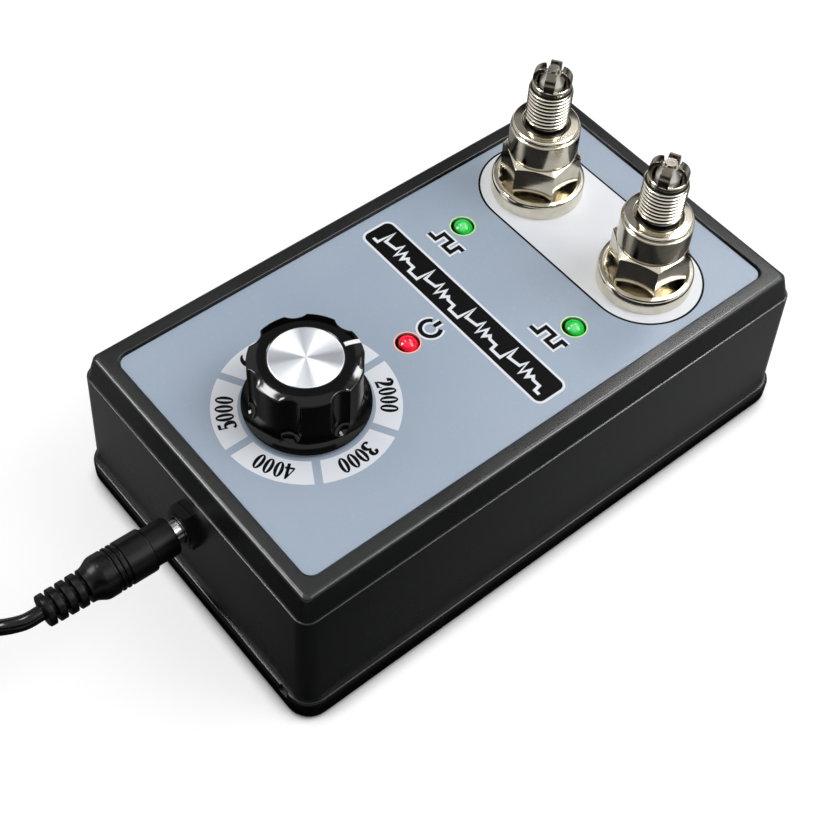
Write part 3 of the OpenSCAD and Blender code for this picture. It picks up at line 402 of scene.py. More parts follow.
def nickel_plate(name, side, dark, light):
    """Bright nickel over turned steel: warm, with fine turning lines round the axis and a thin haze."""
    made, tree, shader, place = start(name)
    about = node(tree, "ShaderNodeMapping",
                 {"Vector": place, "Location": (-side * SOCKET_X * MM, -SOCKET_Y * MM, 0)})
    haze = node(tree, "ShaderNodeTexNoise",
                {"Vector": place, "Scale": per_mm(4.0), "Detail": 5.0, "Roughness": 0.6})
    # Turning lines of about 0.05 mm are too fine to show and are drawn about 1.4 mm apart.
    lines = node(tree, "ShaderNodeTexWave", {
        "Vector": about.outputs["Vector"], "Scale": WAVE * per_mm(1.382), "Distortion": 0.6, "Detail": 2.0},
        wave_type="BANDS", bands_direction="Z")
    tone = node(tree, "ShaderNodeValToRGB", {"Fac": haze.outputs["Fac"]}, ramp=((0.32, dark), (0.62, light)))
    rough = node(tree, "ShaderNodeMapRange", {
        "Value": haze.outputs["Fac"], "From Min": 0.3, "From Max": 0.7, "To Min": 0.09, "To Max": 0.17})
    relief = node(tree, "ShaderNodeBump",
                  {"Height": lines.outputs["Fac"], "Strength": 1.0, "Distance": 0.0012 * MM})
    wire(tree, shader, {
        "Base Color": tone.outputs["Color"], "Roughness": rough.outputs["Result"],
        "Normal": relief.outputs["Normal"], "Metallic": 1.0})
    return made


SOCKET_NICKEL = {
    side: nickel_plate(f"bright nickel plate, {SIDE_NAMES[side]} socket", side, "#cdc6b6", "#ded8c9")
    for side in SIDES}
# The plugs' plate is drawn darker and greyer than the sockets'.
PLUG_NICKEL = {
    side: nickel_plate(f"darker nickel plate, {SIDE_NAMES[side]} plug", side, "#bab3a2", "#cfc8b8")
    for side in SIDES}


def thread_nickel(name, side):
    """The plugs' plate over a cut thread: painted light on the crests, and dull and painted dark as shade in
    the roots.
    """
    root_r, crest_r = 4.64, 4.88
    made, tree, shader, place = start(name)
    about = node(tree, "ShaderNodeMapping", {
        "Vector": place, "Location": (-side * SOCKET_X * MM, -SOCKET_Y * MM, 0), "Scale": (1, 1, 0)})
    reach = node(tree, "ShaderNodeVectorMath", {0: about.outputs["Vector"]}, operation="LENGTH")
    painted_crest_light = node(tree, "ShaderNodeMapRange", {
        "Value": reach.outputs["Value"], "From Min": root_r * MM, "From Max": crest_r * MM})
    tone = node(tree, "ShaderNodeValToRGB", {"Fac": painted_crest_light.outputs["Result"]},
                ramp=((0, "#1a1814"), (1, "#dcd6c8")))
    rough = node(tree, "ShaderNodeMapRange",
                 {"Value": painted_crest_light.outputs["Result"], "To Min": 0.45, "To Max": 0.13})
    wire(tree, shader,
         {"Base Color": tone.outputs["Color"], "Roughness": rough.outputs["Result"], "Metallic": 1.0})
    return made


THREAD_NICKEL = {side: thread_nickel(f"darker nickel plate, {SIDE_NAMES[side]} thread", side) for side in SIDES}


def spun_aluminium():
    """Aluminium disc spun on its face: fine rings round the middle stretch each light into a fan, over a
    painted sheen of paler and greyer sectors.
    """
    made, tree, shader, place = start("aluminium, spun and lacquered")
    about = node(tree, "ShaderNodeMapping", {
        "Vector": place, "Location": (0, -KNOB_Y * MM, -KNOB_TOP * MM)})
    # Spinning marks of about 0.03 mm are too fine to show and are drawn about 1.2 mm apart.
    rings = node(tree, "ShaderNodeTexWave", {
        "Vector": about.outputs["Vector"], "Scale": WAVE * per_mm(1.184), "Distortion": 1.5, "Detail": 3.0},
        wave_type="RINGS", rings_direction="Z")
    # Painted sheen: four paler and four greyer sectors, fixed round the disc where the lights' fans fall.
    sheen_turn, half_sector = math.radians(-50.7), 1 / 8
    turned = node(tree, "ShaderNodeMapping",
                  {"Vector": about.outputs["Vector"], "Rotation": (0, 0, sheen_turn)})
    angle = node(tree, "ShaderNodeTexGradient", {"Vector": turned.outputs["Vector"]}, gradient_type="RADIAL")
    sheen_fan = node(tree, "ShaderNodeMath", {0: angle.outputs["Fac"], 1: half_sector}, operation="PINGPONG")
    painted_sheen = node(tree, "ShaderNodeMapRange", {"Value": sheen_fan.outputs[0], "From Max": half_sector})
    tone = node(tree, "ShaderNodeValToRGB", {"Fac": painted_sheen.outputs["Result"]},
                ramp=((0.25, "#b8bcc2"), (0.5, "#e2e5e9")))
    relief = node(tree, "ShaderNodeBump",
                  {"Height": rings.outputs["Fac"], "Strength": 1.0, "Distance": 0.0006 * MM})
    turn = node(tree, "ShaderNodeTangent", {}, direction_type="RADIAL", axis="Z")
    wire(tree, shader, {
        "Base Color": tone.outputs["Color"], "Metallic": 1.0, "Roughness": 0.38, "Anisotropic": 0.7,
        "Normal": relief.outputs["Normal"], "Tangent": turn.outputs["Tangent"]})
    return made


CAP_ALUMINIUM = spun_aluminium()


def label_film():
    """Polycarbonate film, printed blue-grey on its back: an even satin face with fine pale specks."""
    made, tree, shader, place = start("polycarbonate label film, blue-grey")
    drift = node(tree, "ShaderNodeTexNoise", {"Vector": place, "Scale": per_mm(40), "Detail": 3.0})
    specks = node(tree, "ShaderNodeTexNoise", {"Vector": place, "Scale": per_mm(0.7), "Detail": 1.0})
    tone = node(tree, "ShaderNodeValToRGB", {"Fac": drift.outputs["Fac"]},
                ramp=((0.3, "#9cacbf"), (0.7, "#a5b3c5")))
    pick = node(tree, "ShaderNodeMapRange", {
        "Value": specks.outputs["Fac"], "From Min": 0.6, "From Max": 0.75, "To Min": 0.0, "To Max": 0.12})
    face = node(tree, "ShaderNodeMix", {
        "Factor": pick.outputs["Result"], "A": tone.outputs["Color"], "B": linear("#c6d0dc")},
        data_type="RGBA")
    relief = node(tree, "ShaderNodeBump",
                  {"Height": specks.outputs["Fac"], "Strength": 1.0, "Distance": 0.002 * MM})
    wire(tree, shader, {
        "Base Color": face.outputs["Result"], "Roughness": 0.36, "IOR": 1.58, "Specular IOR Level": 0.3,
        "Normal": relief.outputs["Normal"]})
    return made


LABEL_FILM = label_film()
# Screen-printed inks: flat and satin, a little uneven in their thickness.
WHITE_INK = grained("white screen ink", "#e4e8ef", "#ebeef4", (0.4, 0.5), 0.8, 0.002, 12, shine=0.15)
BLACK_INK = grained("black screen ink", "#050506", "#08080a", (0.4, 0.5), 0.8, 0.002, 12, shine=0.05)
POINTER_INK = grained("white filler ink", "#eef0f4", "#f6f7fa", (0.35, 0.45), 0.8, 0.002, 6)


def lamp_epoxy(name, body, glow, patch, strength):
    """Tinted epoxy of a lit lamp: a glossy dome that glows, with a painted dark crescent of shade on one
    side, and paler over its frame.
    """
    glow_low, glow_high, crescent_shade = 42.0, 43.6, linear("#060204")
    made, tree, shader, place = start(name)
    parts = node(tree, "ShaderNodeSeparateXYZ", {"Vector": place})
    height = node(tree, "ShaderNodeMapRange", {
        "Value": parts.outputs["Z"], "From Min": glow_low * MM, "From Max": glow_high * MM})
    tone = node(tree, "ShaderNodeValToRGB", {"Fac": height.outputs["Result"]}, ramp=((0, body), (1, glow)))
    span = tree.nodes["Texture Coordinate"].outputs["Generated"]
    # The frame lies to one side of the lens, which is 5.8 mm wide at its foot, and shows 2.6 mm across.
    beside = node(tree, "ShaderNodeMapping",
                  {"Vector": span, "Location": (-2.72, -1.86, 0), "Scale": (4.46, 4.46, 0)})
    near = node(tree, "ShaderNodeTexGradient", {"Vector": beside.outputs["Vector"]},
                gradient_type="SPHERICAL")
    share = node(tree, "ShaderNodeMapRange", {"Value": near.outputs["Fac"], "From Min": 0.0, "From Max": 0.5})
    light = node(tree, "ShaderNodeMix", {
        "Factor": share.outputs["Result"], "A": tone.outputs["Color"], "B": linear(patch)}, data_type="RGBA")
    # Painted shade: a dark crescent on one side of the dome, as of the gap between lens and hole in shadow;
    # the lit part is offset to one side by 0.35 mm and is 4.9 mm wide.
    crescent_offset = node(tree, "ShaderNodeMapping",
                {"Vector": span, "Location": (-1.273, -1.295, 0), "Scale": (2.367, 2.367, 0)})
    crescent_mask = node(tree, "ShaderNodeTexGradient", {"Vector": crescent_offset.outputs["Vector"]}, gradient_type="SPHERICAL")
    reach = node(tree, "ShaderNodeMapRange",
                 {"Value": crescent_mask.outputs["Fac"], "From Min": 0.0, "From Max": 0.12})
    lit = node(tree, "ShaderNodeMix", {
        "Factor": reach.outputs["Result"], "A": crescent_shade, "B": light.outputs["Result"]}, data_type="RGBA")
    skin = node(tree, "ShaderNodeMix", {
        "Factor": reach.outputs["Result"], "A": crescent_shade, "B": linear(body)}, data_type="RGBA")
    wire(tree, shader, {
        "Base Color": skin.outputs["Result"], "Roughness": 0.06, "IOR": 1.55, "Specular IOR Level": 0.4,
        "Emission Color": lit.outputs["Result"], "Emission Strength": strength})
    return made


RED_EPOXY = lamp_epoxy("red lamp epoxy, lit", "#c8001e", "#ee0830", "#f21a48", 0.6)
GREEN_EPOXY = lamp_epoxy("green lamp epoxy, lit", "#008826", "#08cc40", "#86ee9c", 0.6)


def lit_edge(name, tone):
    """Edge of the film round a lamp, lit from inside."""
    made, tree, shader, place = start(name)
    drift = node(tree, "ShaderNodeTexNoise", {"Vector": place, "Scale": per_mm(1.5), "Detail": 2.0})
    level = node(tree, "ShaderNodeMapRange", {
        "Value": drift.outputs["Fac"], "From Min": 0.3, "From Max": 0.7, "To Min": 0.25, "To Max": 0.45})
    wire(tree, shader, {
        "Base Color": linear(tone), "Roughness": 0.4, "Emission Color": linear(tone),
        "Emission Strength": level.outputs["Result"]})
    return made


RED_EDGE = lit_edge("film edge lit red", "#ffa98e")
GREEN_EDGE = lit_edge("film edge lit green", "#b6e67a")


# Cord, from the strain relief to the table, round a tied coil and on to the wall adapter

COIL_AT = (-42, -141.5)
COIL_OUT, COIL_IN, COIL_PITCH = 23.5, 14.0, 4.0
LAYER_TURNS, LAYERS = 2.375, 4
COIL_Z = 2.6
CORD_EXIT = JACK_AT + LEAD_END * JACK_OUT


def coil_point(turn):
    layer = min(int(turn / LAYER_TURNS), LAYERS - 1)
    run = COIL_PITCH * (turn - layer * LAYER_TURNS)
    radius = COIL_OUT - run if layer % 2 == 0 else COIL_IN + run
    climb = sum(ease((turn - j * LAYER_TURNS + 0.25) / 0.5) for j in range(1, LAYERS))
    angle = math.radians(90 + 360 * turn)
    return (COIL_AT[0] + radius * math.cos(angle), COIL_AT[1] + radius * math.sin(angle),
            COIL_Z + COIL_PITCH * climb)


def make_cord():
    drop = through([
        tuple(CORD_EXIT), tuple(CORD_EXIT + 3.4 * JACK_OUT), (-0.8, -112.2, 28), (-2.4, -114.6, 27.3),
        (-4.8, -116.7, 25.9), (-7.8, -118.5, 23.6), (-11.2, -119.8, 20.7), (-14.8, -120.6, 17.3),
        (-18.4, -120.8, 13.8), (-21.8, -120.5, 10.4), (-25, -119.9, 7.4), (-28, -119.1, 5),
        (-30.6, -118.5, 3.5), (-35.2, -118, COIL_Z), (-38.6, -118, COIL_Z)], 4)
    coil = [coil_point(i / 60) for i in range(571)]
    tail = through([
        (-38.6, -165, 14.6), (-35.2, -165, 14.6), (-31, -165, 14.4), (-27, -165, 14.2), (-23, -165, 14.2),
        (-19, -165, 14.4), (-15.4, -165, 14.6), (-12, -165, 14.6)], 4)
    route = drop + coil + tail
    data = bpy.data.curves.new("cord", "CURVE")
    data.dimensions = "3D"
    data.bevel_depth = CORD_R * MM
    data.bevel_resolution = 6
    data.use_fill_caps = True
    line = data.splines.new("POLY")
    line.points.add(len(route) - 1)
    for point, place in zip(line.points, route):
        point.co = [c * MM for c in place] + [1]
    line.use_smooth = True
    cord = bpy.data.objects.new("cord", data)
    bpy.context.collection.objects.link(cord)
    data.materials.append(CORD_PVC)
    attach(cord, "power_lead")
    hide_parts("power_cord", "cord_coil", "cord_tail")
    length = sum(math.dist(a, b) for a, b in zip(route, route[1:])) * MM
    return cord, length


cord, cord_length = make_cord()


# Case; each section of a shell is half its width, half its length, the radius of its corners and its height

SOCKET_BORE_R, SHAFT_BORE_R, LAMP_BORE_R, JACK_BORE_R = 9.15, 3.65, 2.65, 4.05


def panel_bores(low, lamp_r):
    """Cutters for the sockets, the lamps and the knob's shaft, from a height up to the rim."""
    bores = [(SOCKET_BORE_R, 96, (side * SOCKET_X, SOCKET_Y)) for side in SIDES]
    bores += [(lamp_r, 48, lamp) for lamp in LAMPS]
    bores.append((SHAFT_BORE_R, 48, (0, KNOB_Y)))
    return [moved(lathe([(r, low), (r, RIM_Z)], n), at(*spot)) for r, n, spot in bores]


def make_case():
    outside = eased([
        (41.5, 72.1, 4.6, FLANGE_Z), (40.2, 70.8, 3.3, LEDGE_Z), (39.8, 70.4, 2.9, LEDGE_Z),
        (38.0, 68.6, 1.1, RIM_Z), (34.5, 65.35, 2.85, RIM_Z), (34.5, 65.35, 2.85, LABEL_SEAT_Z)],
        {1: 0.3, 3: 0.8, 4: 0.2})
    case = solid("case_shell", loft([rounded_loop(*p) for p in outside]))
    inside = loft([rounded_loop(39.3, 69.9, 2.4, FLANGE_Z - 1), rounded_loop(37.4, 68.0, 0.5, CEILING_Z)])
    carve(case, inside)
    jack_bore = moved(lathe([(JACK_BORE_R, -6), (JACK_BORE_R, 4)]), JACK)
    carve(case, joined(*panel_bores(CEILING_Z - 1, LAMP_BORE_R), jack_bore))
    placed(case, CASE_ABS, "tester", ["upper_case"])


def make_base():
    outside = eased([
        (41.6, 72.2, 4.6, 0), (42.6, 73.2, 5.7, 1.3), (42.6, 73.2, 5.7, 6.1), (42.15, 72.75, 5.25, FLANGE_Z),
        (38.95, 69.55, 2.05, FLANGE_Z), (38.95, 69.55, 2.05, 9.3)], {1: 0.7, 2: 0.4, 3: 0.25})
    base = solid("base_tray", loft([rounded_loop(*p) for p in outside]))
    floor_z, open_z = 2.5, 12
    carve(base, loft([rounded_loop(37.35, 67.95, 1.25, z) for z in (floor_z, open_z)]))
    seat_r, seat_depth, screw_x, screw_y = 3.05, 2.3, 34.3, 64.9
    seat = lathe([(seat_r, -1), (seat_r, seat_depth)], 48)
    screw_seats = [moved(seat, at(x * screw_x, y * screw_y)) for x in SIDES for y in SIDES]
    # The notch for prising the two halves apart
    notch = moved(loft([rounded_loop(1.4, 0.8, 0.2, z) for z in (5.2, 8)]), at(35, -73.3))
    carve(base, joined(*screw_seats, notch))
    placed(base, SHADED_BASE_ABS, "tester", ["base_cover"])


make_case()
make_base()


# Label and its prints

LAMP_HOLE_R = 2.8
INK_LIFT, INK_H = 0.012, 0.02


def oval(x, y, rx, ry, n=32):
    return [(x + rx * math.cos(math.tau * k / n), y + ry * math.sin(math.tau * k / n)) for k in range(n)]


def ribbon(points):
    """The outline of a line whose points each hold x, y and the line's width there."""
    sharpest = 0.35
    left, right = [], []
    last = len(points) - 1
    for i, (x, y, w) in enumerate(points):
        sides = []
        for a, b in ((max(i - 1, 0), max(i, 1)), (min(i, last - 1), min(i + 1, last))):
            dx, dy = points[b][0] - points[a][0], points[b][1] - points[a][1]
            span = math.hypot(dx, dy)
            sides.append((-dy / span, dx / span))
        nx, ny = sides[0][0] + sides[1][0], sides[0][1] + sides[1][1]
        fit = max(sharpest, (nx * nx + ny * ny) / 2)
        nx, ny = nx / fit * w / 2, ny / fit * w / 2
        left.append((x + nx, y + ny))
        right.append((x - nx, y - ny))
    return left + right[::-1]


def printed(name, shapes, layer, ink):
    """A print on the label: a shape is an outline and those of its holes, layer its place in the stack."""
    parts = []
    for outlines in shapes:
        data = bpy.data.curves.new("print", "CURVE")
        data.dimensions = "2D"
        data.fill_mode = "BOTH"
        data.extrude = INK_H / 2 * MM
        for outline in outlines:
            line = data.splines.new("POLY")
            line.points.add(len(outline) - 1)
            line.use_cyclic_u = True
            for point, (x, y) in zip(line.points, outline):
                point.co = (x * MM, y * MM, 0, 1)
        draft = bpy.data.objects.new("print", data)
        bpy.context.collection.objects.link(draft)
        parts.append(moved(taken(draft), at(0, 0, LABEL_Z + INK_LIFT + INK_H * layer)))
    placed(solid(name, joined(*parts)), ink, "tester")


def make_label():
    film = eased([(34.15, 65, 2.5, LABEL_SEAT_Z), (34.15, 65, 2.5, LABEL_Z), (33.9, 64.75, 2.25, LABEL_Z)],
                 {1: 0.12})
    label = solid("label_film", loft([rounded_loop(*p) for p in film]))
    carve(label, joined(*panel_bores(CEILING_Z, LAMP_HOLE_R)))
    placed(label, LABEL_FILM, "tester", ["front_label"])


def capsule(r):
    """Outline of the panel round both sockets."""
    steps = 32
    outline = []
    for side, first in ((1, -90), (-1, 90)):
        for k in range(steps + 1):
            a = math.radians(first + 180 * k / steps)
            outline.append((side * SOCKET_X + r * math.cos(a), SOCKET_Y + r * math.sin(a)))
    return outline


def make_socket_panel():
    bore_r, panel_r, line_w = 9.3, 13.4, 0.5
    bores = [oval(side * SOCKET_X, SOCKET_Y, bore_r, bore_r, 64) for side in SIDES]
    printed("socket_panel_line", [[capsule(panel_r + line_w)] + bores], 0, BLACK_INK)
    printed("socket_panel", [[capsule(panel_r)] + bores], 1, WHITE_INK)


DIAL_IN, DIAL_OUT, DIAL_GAP, DIAL_PARTS = 14.6, 20.35, 1.8, 6
DIAL_STEP, DIAL_FIRST = 60, 120
NUMBER_R, NUMBER_H, NUMBER_STEP = 17.45, 3.9, 2.25
# How much bolder than drawn below the pen is, and the middle of a digit's cell
PEN = 1.55
CELL_X, CELL_Y = 0.28, 0.5

# Digits of the dial in a cell one unit high: filled outlines, and lines that swell and thin as a pen's do
DIGITS = {
    "0": ([[oval(0.28, 0.5, 0.26, 0.5), oval(0.28, 0.5, 0.065, 0.41)]], []),
    "1": ([[[(0.06, 0), (0.06, 0.04), (0.19, 0.07), (0.19, 0.84), (0.07, 0.8), (0.06, 0.84), (0.3, 1),
             (0.36, 1), (0.36, 0.07), (0.49, 0.04), (0.49, 0)]]], []),
    "2": ([[[(0.03, 0), (0.47, 0), (0.53, 0.27), (0.49, 0.27), (0.45, 0.18), (0.38, 0.15), (0.1, 0.15),
             (0.03, 0.06)]]],
          [[(0.09, 0.7, 0.14), (0.12, 0.86, 0.13), (0.26, 0.955, 0.09), (0.4, 0.84, 0.15), (0.41, 0.68, 0.17),
            (0.31, 0.46, 0.14), (0.17, 0.27, 0.09), (0.07, 0.13, 0.05)]]),
    "3": ([], [[(0.08, 0.74, 0.12), (0.13, 0.88, 0.12), (0.26, 0.955, 0.08), (0.39, 0.85, 0.14),
                (0.39, 0.68, 0.15), (0.3, 0.57, 0.08), (0.2, 0.535, 0.05)],
               [(0.2, 0.54, 0.05), (0.36, 0.47, 0.1), (0.44, 0.3, 0.16), (0.41, 0.13, 0.14),
                (0.27, 0.04, 0.07), (0.13, 0.07, 0.1), (0.08, 0.18, 0.13)]]),
    "4": ([[[(0.29, 0), (0.47, 0), (0.47, 0.22), (0.55, 0.22), (0.55, 0.35), (0.47, 0.35), (0.47, 1),
             (0.37, 1), (0.02, 0.35), (0.02, 0.22), (0.29, 0.22)],
            [(0.29, 0.35), (0.11, 0.35), (0.29, 0.7)]]], []),
    "5": ([[[(0.1, 0.48), (0.13, 1), (0.48, 1), (0.44, 0.83), (0.19, 0.83), (0.18, 0.56)]]],
          [[(0.11, 0.53, 0.05), (0.24, 0.61, 0.08), (0.39, 0.53, 0.13), (0.45, 0.34, 0.17),
            (0.41, 0.14, 0.14), (0.27, 0.04, 0.07), (0.13, 0.07, 0.1), (0.08, 0.17, 0.12)]]),
    "6": ([[oval(0.29, 0.29, 0.25, 0.29), oval(0.29, 0.29, 0.09, 0.23)]],
          [[(0.46, 0.96, 0.05), (0.3, 0.88, 0.09), (0.16, 0.68, 0.14), (0.11, 0.45, 0.17),
            (0.12, 0.28, 0.16)]]),
}


def make_dial():
    steps = 24
    segments = []
    for k in range(DIAL_PARTS):
        first, last = (math.radians(DIAL_STEP * (k + half)) for half in (-0.5, 0.5))
        outline = []
        for r, order in ((DIAL_OUT, 1), (DIAL_IN, -1)):
            trim = math.asin(DIAL_GAP / 2 / r)
            angles = [first + trim + (last - first - 2 * trim) * i / steps for i in range(steps + 1)]
            angles = angles[::order]
            outline += [(r * math.cos(a), KNOB_Y + r * math.sin(a)) for a in angles]
        segments.append([outline])
    printed("dial_segments", segments, 0, WHITE_INK)
    figures = []
    for k in range(DIAL_PARTS):
        for i, digit in enumerate(f"{k + 1}000"):
            a = math.radians(DIAL_FIRST - DIAL_STEP * k) + (1.5 - i) * NUMBER_STEP / NUMBER_R
            filled, lines = DIGITS[digit]
            penned = [[ribbon([(x, y, PEN * w) for x, y, w in through(line, 5)])] for line in lines]
            for outlines in filled + penned:
                figure = []
                for outline in outlines:
                    spots = [(NUMBER_H * (x - CELL_X), NUMBER_R + NUMBER_H * (y - CELL_Y))
                             for x, y in outline]
                    figure.append([(u * math.sin(a) + v * math.cos(a),
                                    KNOB_Y - u * math.cos(a) + v * math.sin(a))
                                   for u, v in spots])
                figures.append(figure)
    printed("dial_numbers", figures, 1, BLACK_INK)


def bar_outline(x0, y0, x1, y1, r):
    return [(p[0] + (x0 + x1) / 2, p[1] + (y0 + y1) / 2)
            for p in rounded_loop((x1 - x0) / 2, (y1 - y0) / 2, r, 0)]


BEATS, BEAT_X, BEAT_RUN = 4, -28.6, 14.2
BEAT = [(0, 1.2), (1.5, 1.2), (1.9, 6.2), (2.6, 2.7), (5.8, 3.1), (6.3, 5.1), (7.2, 1.7), (8.1, 4.3),
        (9.0, 2.2), (9.8, 3.5), (10.5, 2.8), (12.5, 2.8), (12.8, 1.2)]
PULSE = [(-4.6, 12.4), (-2.2, 12.4), (-2.2, 15.0), (0.6, 15.0), (0.6, 12.4), (3.0, 12.4), (3.0, 15.0),
         (4.6, 15.0)]
PULSE_IN = 1.5
SWITCH_R, SWITCH_Y = 2.3, -5.6
TRACE_W, HALO_W, SIGN_W = 0.75, 2.0, 1.0


def make_signs():
    """The bar across the middle carries a plain ignition trace, and each lamp a plain sign."""
    printed("bar_edge", [[bar_outline(-31.1, -1.1, 30.6, 7.9, 2.2)]], 0, WHITE_INK)
    printed("bar", [[bar_outline(-30.5, -0.5, 30.0, 7.3, 1.6)]], 1, BLACK_INK)
    trace = [(BEAT_X + BEAT_RUN * k + x, y) for k in range(BEATS) for x, y in BEAT]
    trace.append((BEAT_X + BEAT_RUN * BEATS, BEAT[0][1]))
    printed("bar_trace", [[ribbon([(x, y, TRACE_W) for x, y in trace])]], 2, WHITE_INK)
    switch = [(SWITCH_R * math.cos(math.radians(a)), SWITCH_Y + SWITCH_R * math.sin(math.radians(a)))
              for a in range(128, 413, 12)]
    stroke = [(0, SWITCH_Y + 1.0), (0, SWITCH_Y + 3.1)]
    lines = [switch, stroke]
    lines += [[(side * (SIGNAL_LAMP_X - PULSE_IN) + x, y) for x, y in PULSE] for side in SIDES]
    for name, width, layer, ink in (("sign_halo", HALO_W, 0, WHITE_INK), ("signs", SIGN_W, 1, BLACK_INK)):
        printed(name, [[ribbon([(x, y, width) for x, y in line])] for line in lines], layer, ink)


def make_lamps():
    lens_r, foot_r, edge_r, foot_depth, flange_depth = 2.5, 2.9, 3.05, 8.6, 7.6
    for lamp, name, finish, edge, slot in (
            (LAMPS[0], "power_lamp", RED_EPOXY, RED_EDGE, "lamp_red"),
            (LAMPS[1], "signal_lamp_left", GREEN_EPOXY, GREEN_EDGE, "lamp_green"),
            (LAMPS[2], "signal_lamp_right", GREEN_EPOXY, GREEN_EDGE, "lamp_green")):
        top = LABEL_Z + LAMP_RISE
        dome = [(lens_r * math.cos(math.radians(a)), top - lens_r + lens_r * math.sin(math.radians(a)))
                for a in range(0, 91, 6)]
        foot = [(foot_r, top - foot_depth), (foot_r, top - flange_depth), (lens_r, top - flange_depth)]
        lens = lathe(foot + dome, 48)
        placed(solid(f"{name}_lens", moved(lens, at(*lamp))), finish, "tester", [name])
        rim = [oval(*lamp, r, r, 48) for r in (edge_r, LAMP_HOLE_R)]
        printed(f"{name}_edge", [rim], 0, edge)


make_label()
make_socket_panel()
make_dial()
make_signs()
make_lamps()
# As through a polarising filter, the film and the lamps are kept out of the polished black and nickel
for made in bpy.data.objects:
    if made.name.startswith(("label_", "dial_", "bar", "sign", "power_lamp", "signal_lamp")):
        made.visible_glossy = False


# Sockets and spark plugs; a profile is radius and height, above the label for a socket and above its seat
# for a plug

def make_socket(side):
    profile = eased([
        (7.2, -9.5), (9, -9.5), (9, 0), (11, 0), (11, 4.3), (9.54, 4.3), (9.54, 1.3), (7.2, 1.3)],
        {3: 0.25, 4: 1.3, 5: 0.2})
    name = SIDE_NAMES[side]
    collar = solid(f"socket_collar_{name}",
                   moved(hollow(profile, 128), at(side * SOCKET_X, SOCKET_Y, LABEL_Z)))
    placed(collar, SOCKET_NICKEL[side], "tester", [f"socket_ring_{name}"])


HEX_ACROSS, HEX_H = 16, 11.0
HEX_R = HEX_ACROSS / 2 / math.cos(math.radians(30))
THREAD_FOOT, THREAD_TURNS, CORE_R, THREAD_DEPTH = 20.2, 10, 4.4, 0.6
SHELL_END = 31.4
# How far each plug happens to be screwed round, in degrees
HEX_TURN = {-1: -24, 1: -35}
CLAW_TURN = {-1: 35, 1: 27}


def thread_skin():
    """Skin of a right-hand thread of 1 mm pitch, laid along its helix, that fades out at both ends."""
    around, across, fade = 72, 14, 0.8
    root, rise = 0.14, 0.72
    verts, faces = [], []
    for j in range((THREAD_TURNS + 1) * around + 1):
        a = math.tau * j / around
        for p in range(across + 1):
            z = min(float(THREAD_TURNS), max(0.0, j / around + p / across - 1))
            flank = 1 - abs(2 * p / across - 1)
            depth = THREAD_DEPTH * ease(z / fade) * ease((THREAD_TURNS - z) / fade)
            r = CORE_R + depth * min(1.0, max(0.0, (flank - root) / rise))
            verts.append((r * math.cos(a), r * math.sin(a), THREAD_FOOT + z))
    for j in range((THREAD_TURNS + 1) * around):
        for p in range(across):
            i = j * (across + 1) + p
            faces.append((i, i + across + 1, i + across + 2, i + 1))
    return merged((verts, faces))


def claw():
    """A bar that stands on the shell's end and bends in over the centre electrode."""
    out_r, in_r, height, bend, thick, width, edge = 4.3, 1.9, 3.8, 2.8, 1.1, 2.4, 0.15
    steps = 9
    middle_r, turn_r = out_r - thick / 2, bend - thick / 2
    line = [(middle_r, -0.2), (middle_r, height - bend)]
    last = math.acos((in_r - out_r + bend) / turn_r)
    bends = [last * k / steps for k in range(1, steps + 1)]
    line += [(out_r - bend + turn_r * math.cos(a), height - bend + turn_r * math.sin(a)) for a in bends]
    loops = []
    for i, (r, z) in enumerate(line):
        before, after = line[max(i - 1, 0)], line[min(i + 1, len(line) - 1)]
        dr, dz = after[0] - before[0], after[1] - before[1]
        span = math.hypot(dr, dz)
        out = (dz / span, -dr / span)
        section = rounded_loop(thick / 2, width / 2, edge, 0, 3)
        loops.append([(r + u * out[0], v, z + u * out[1]) for u, v, _ in section])
    return loft(loops)


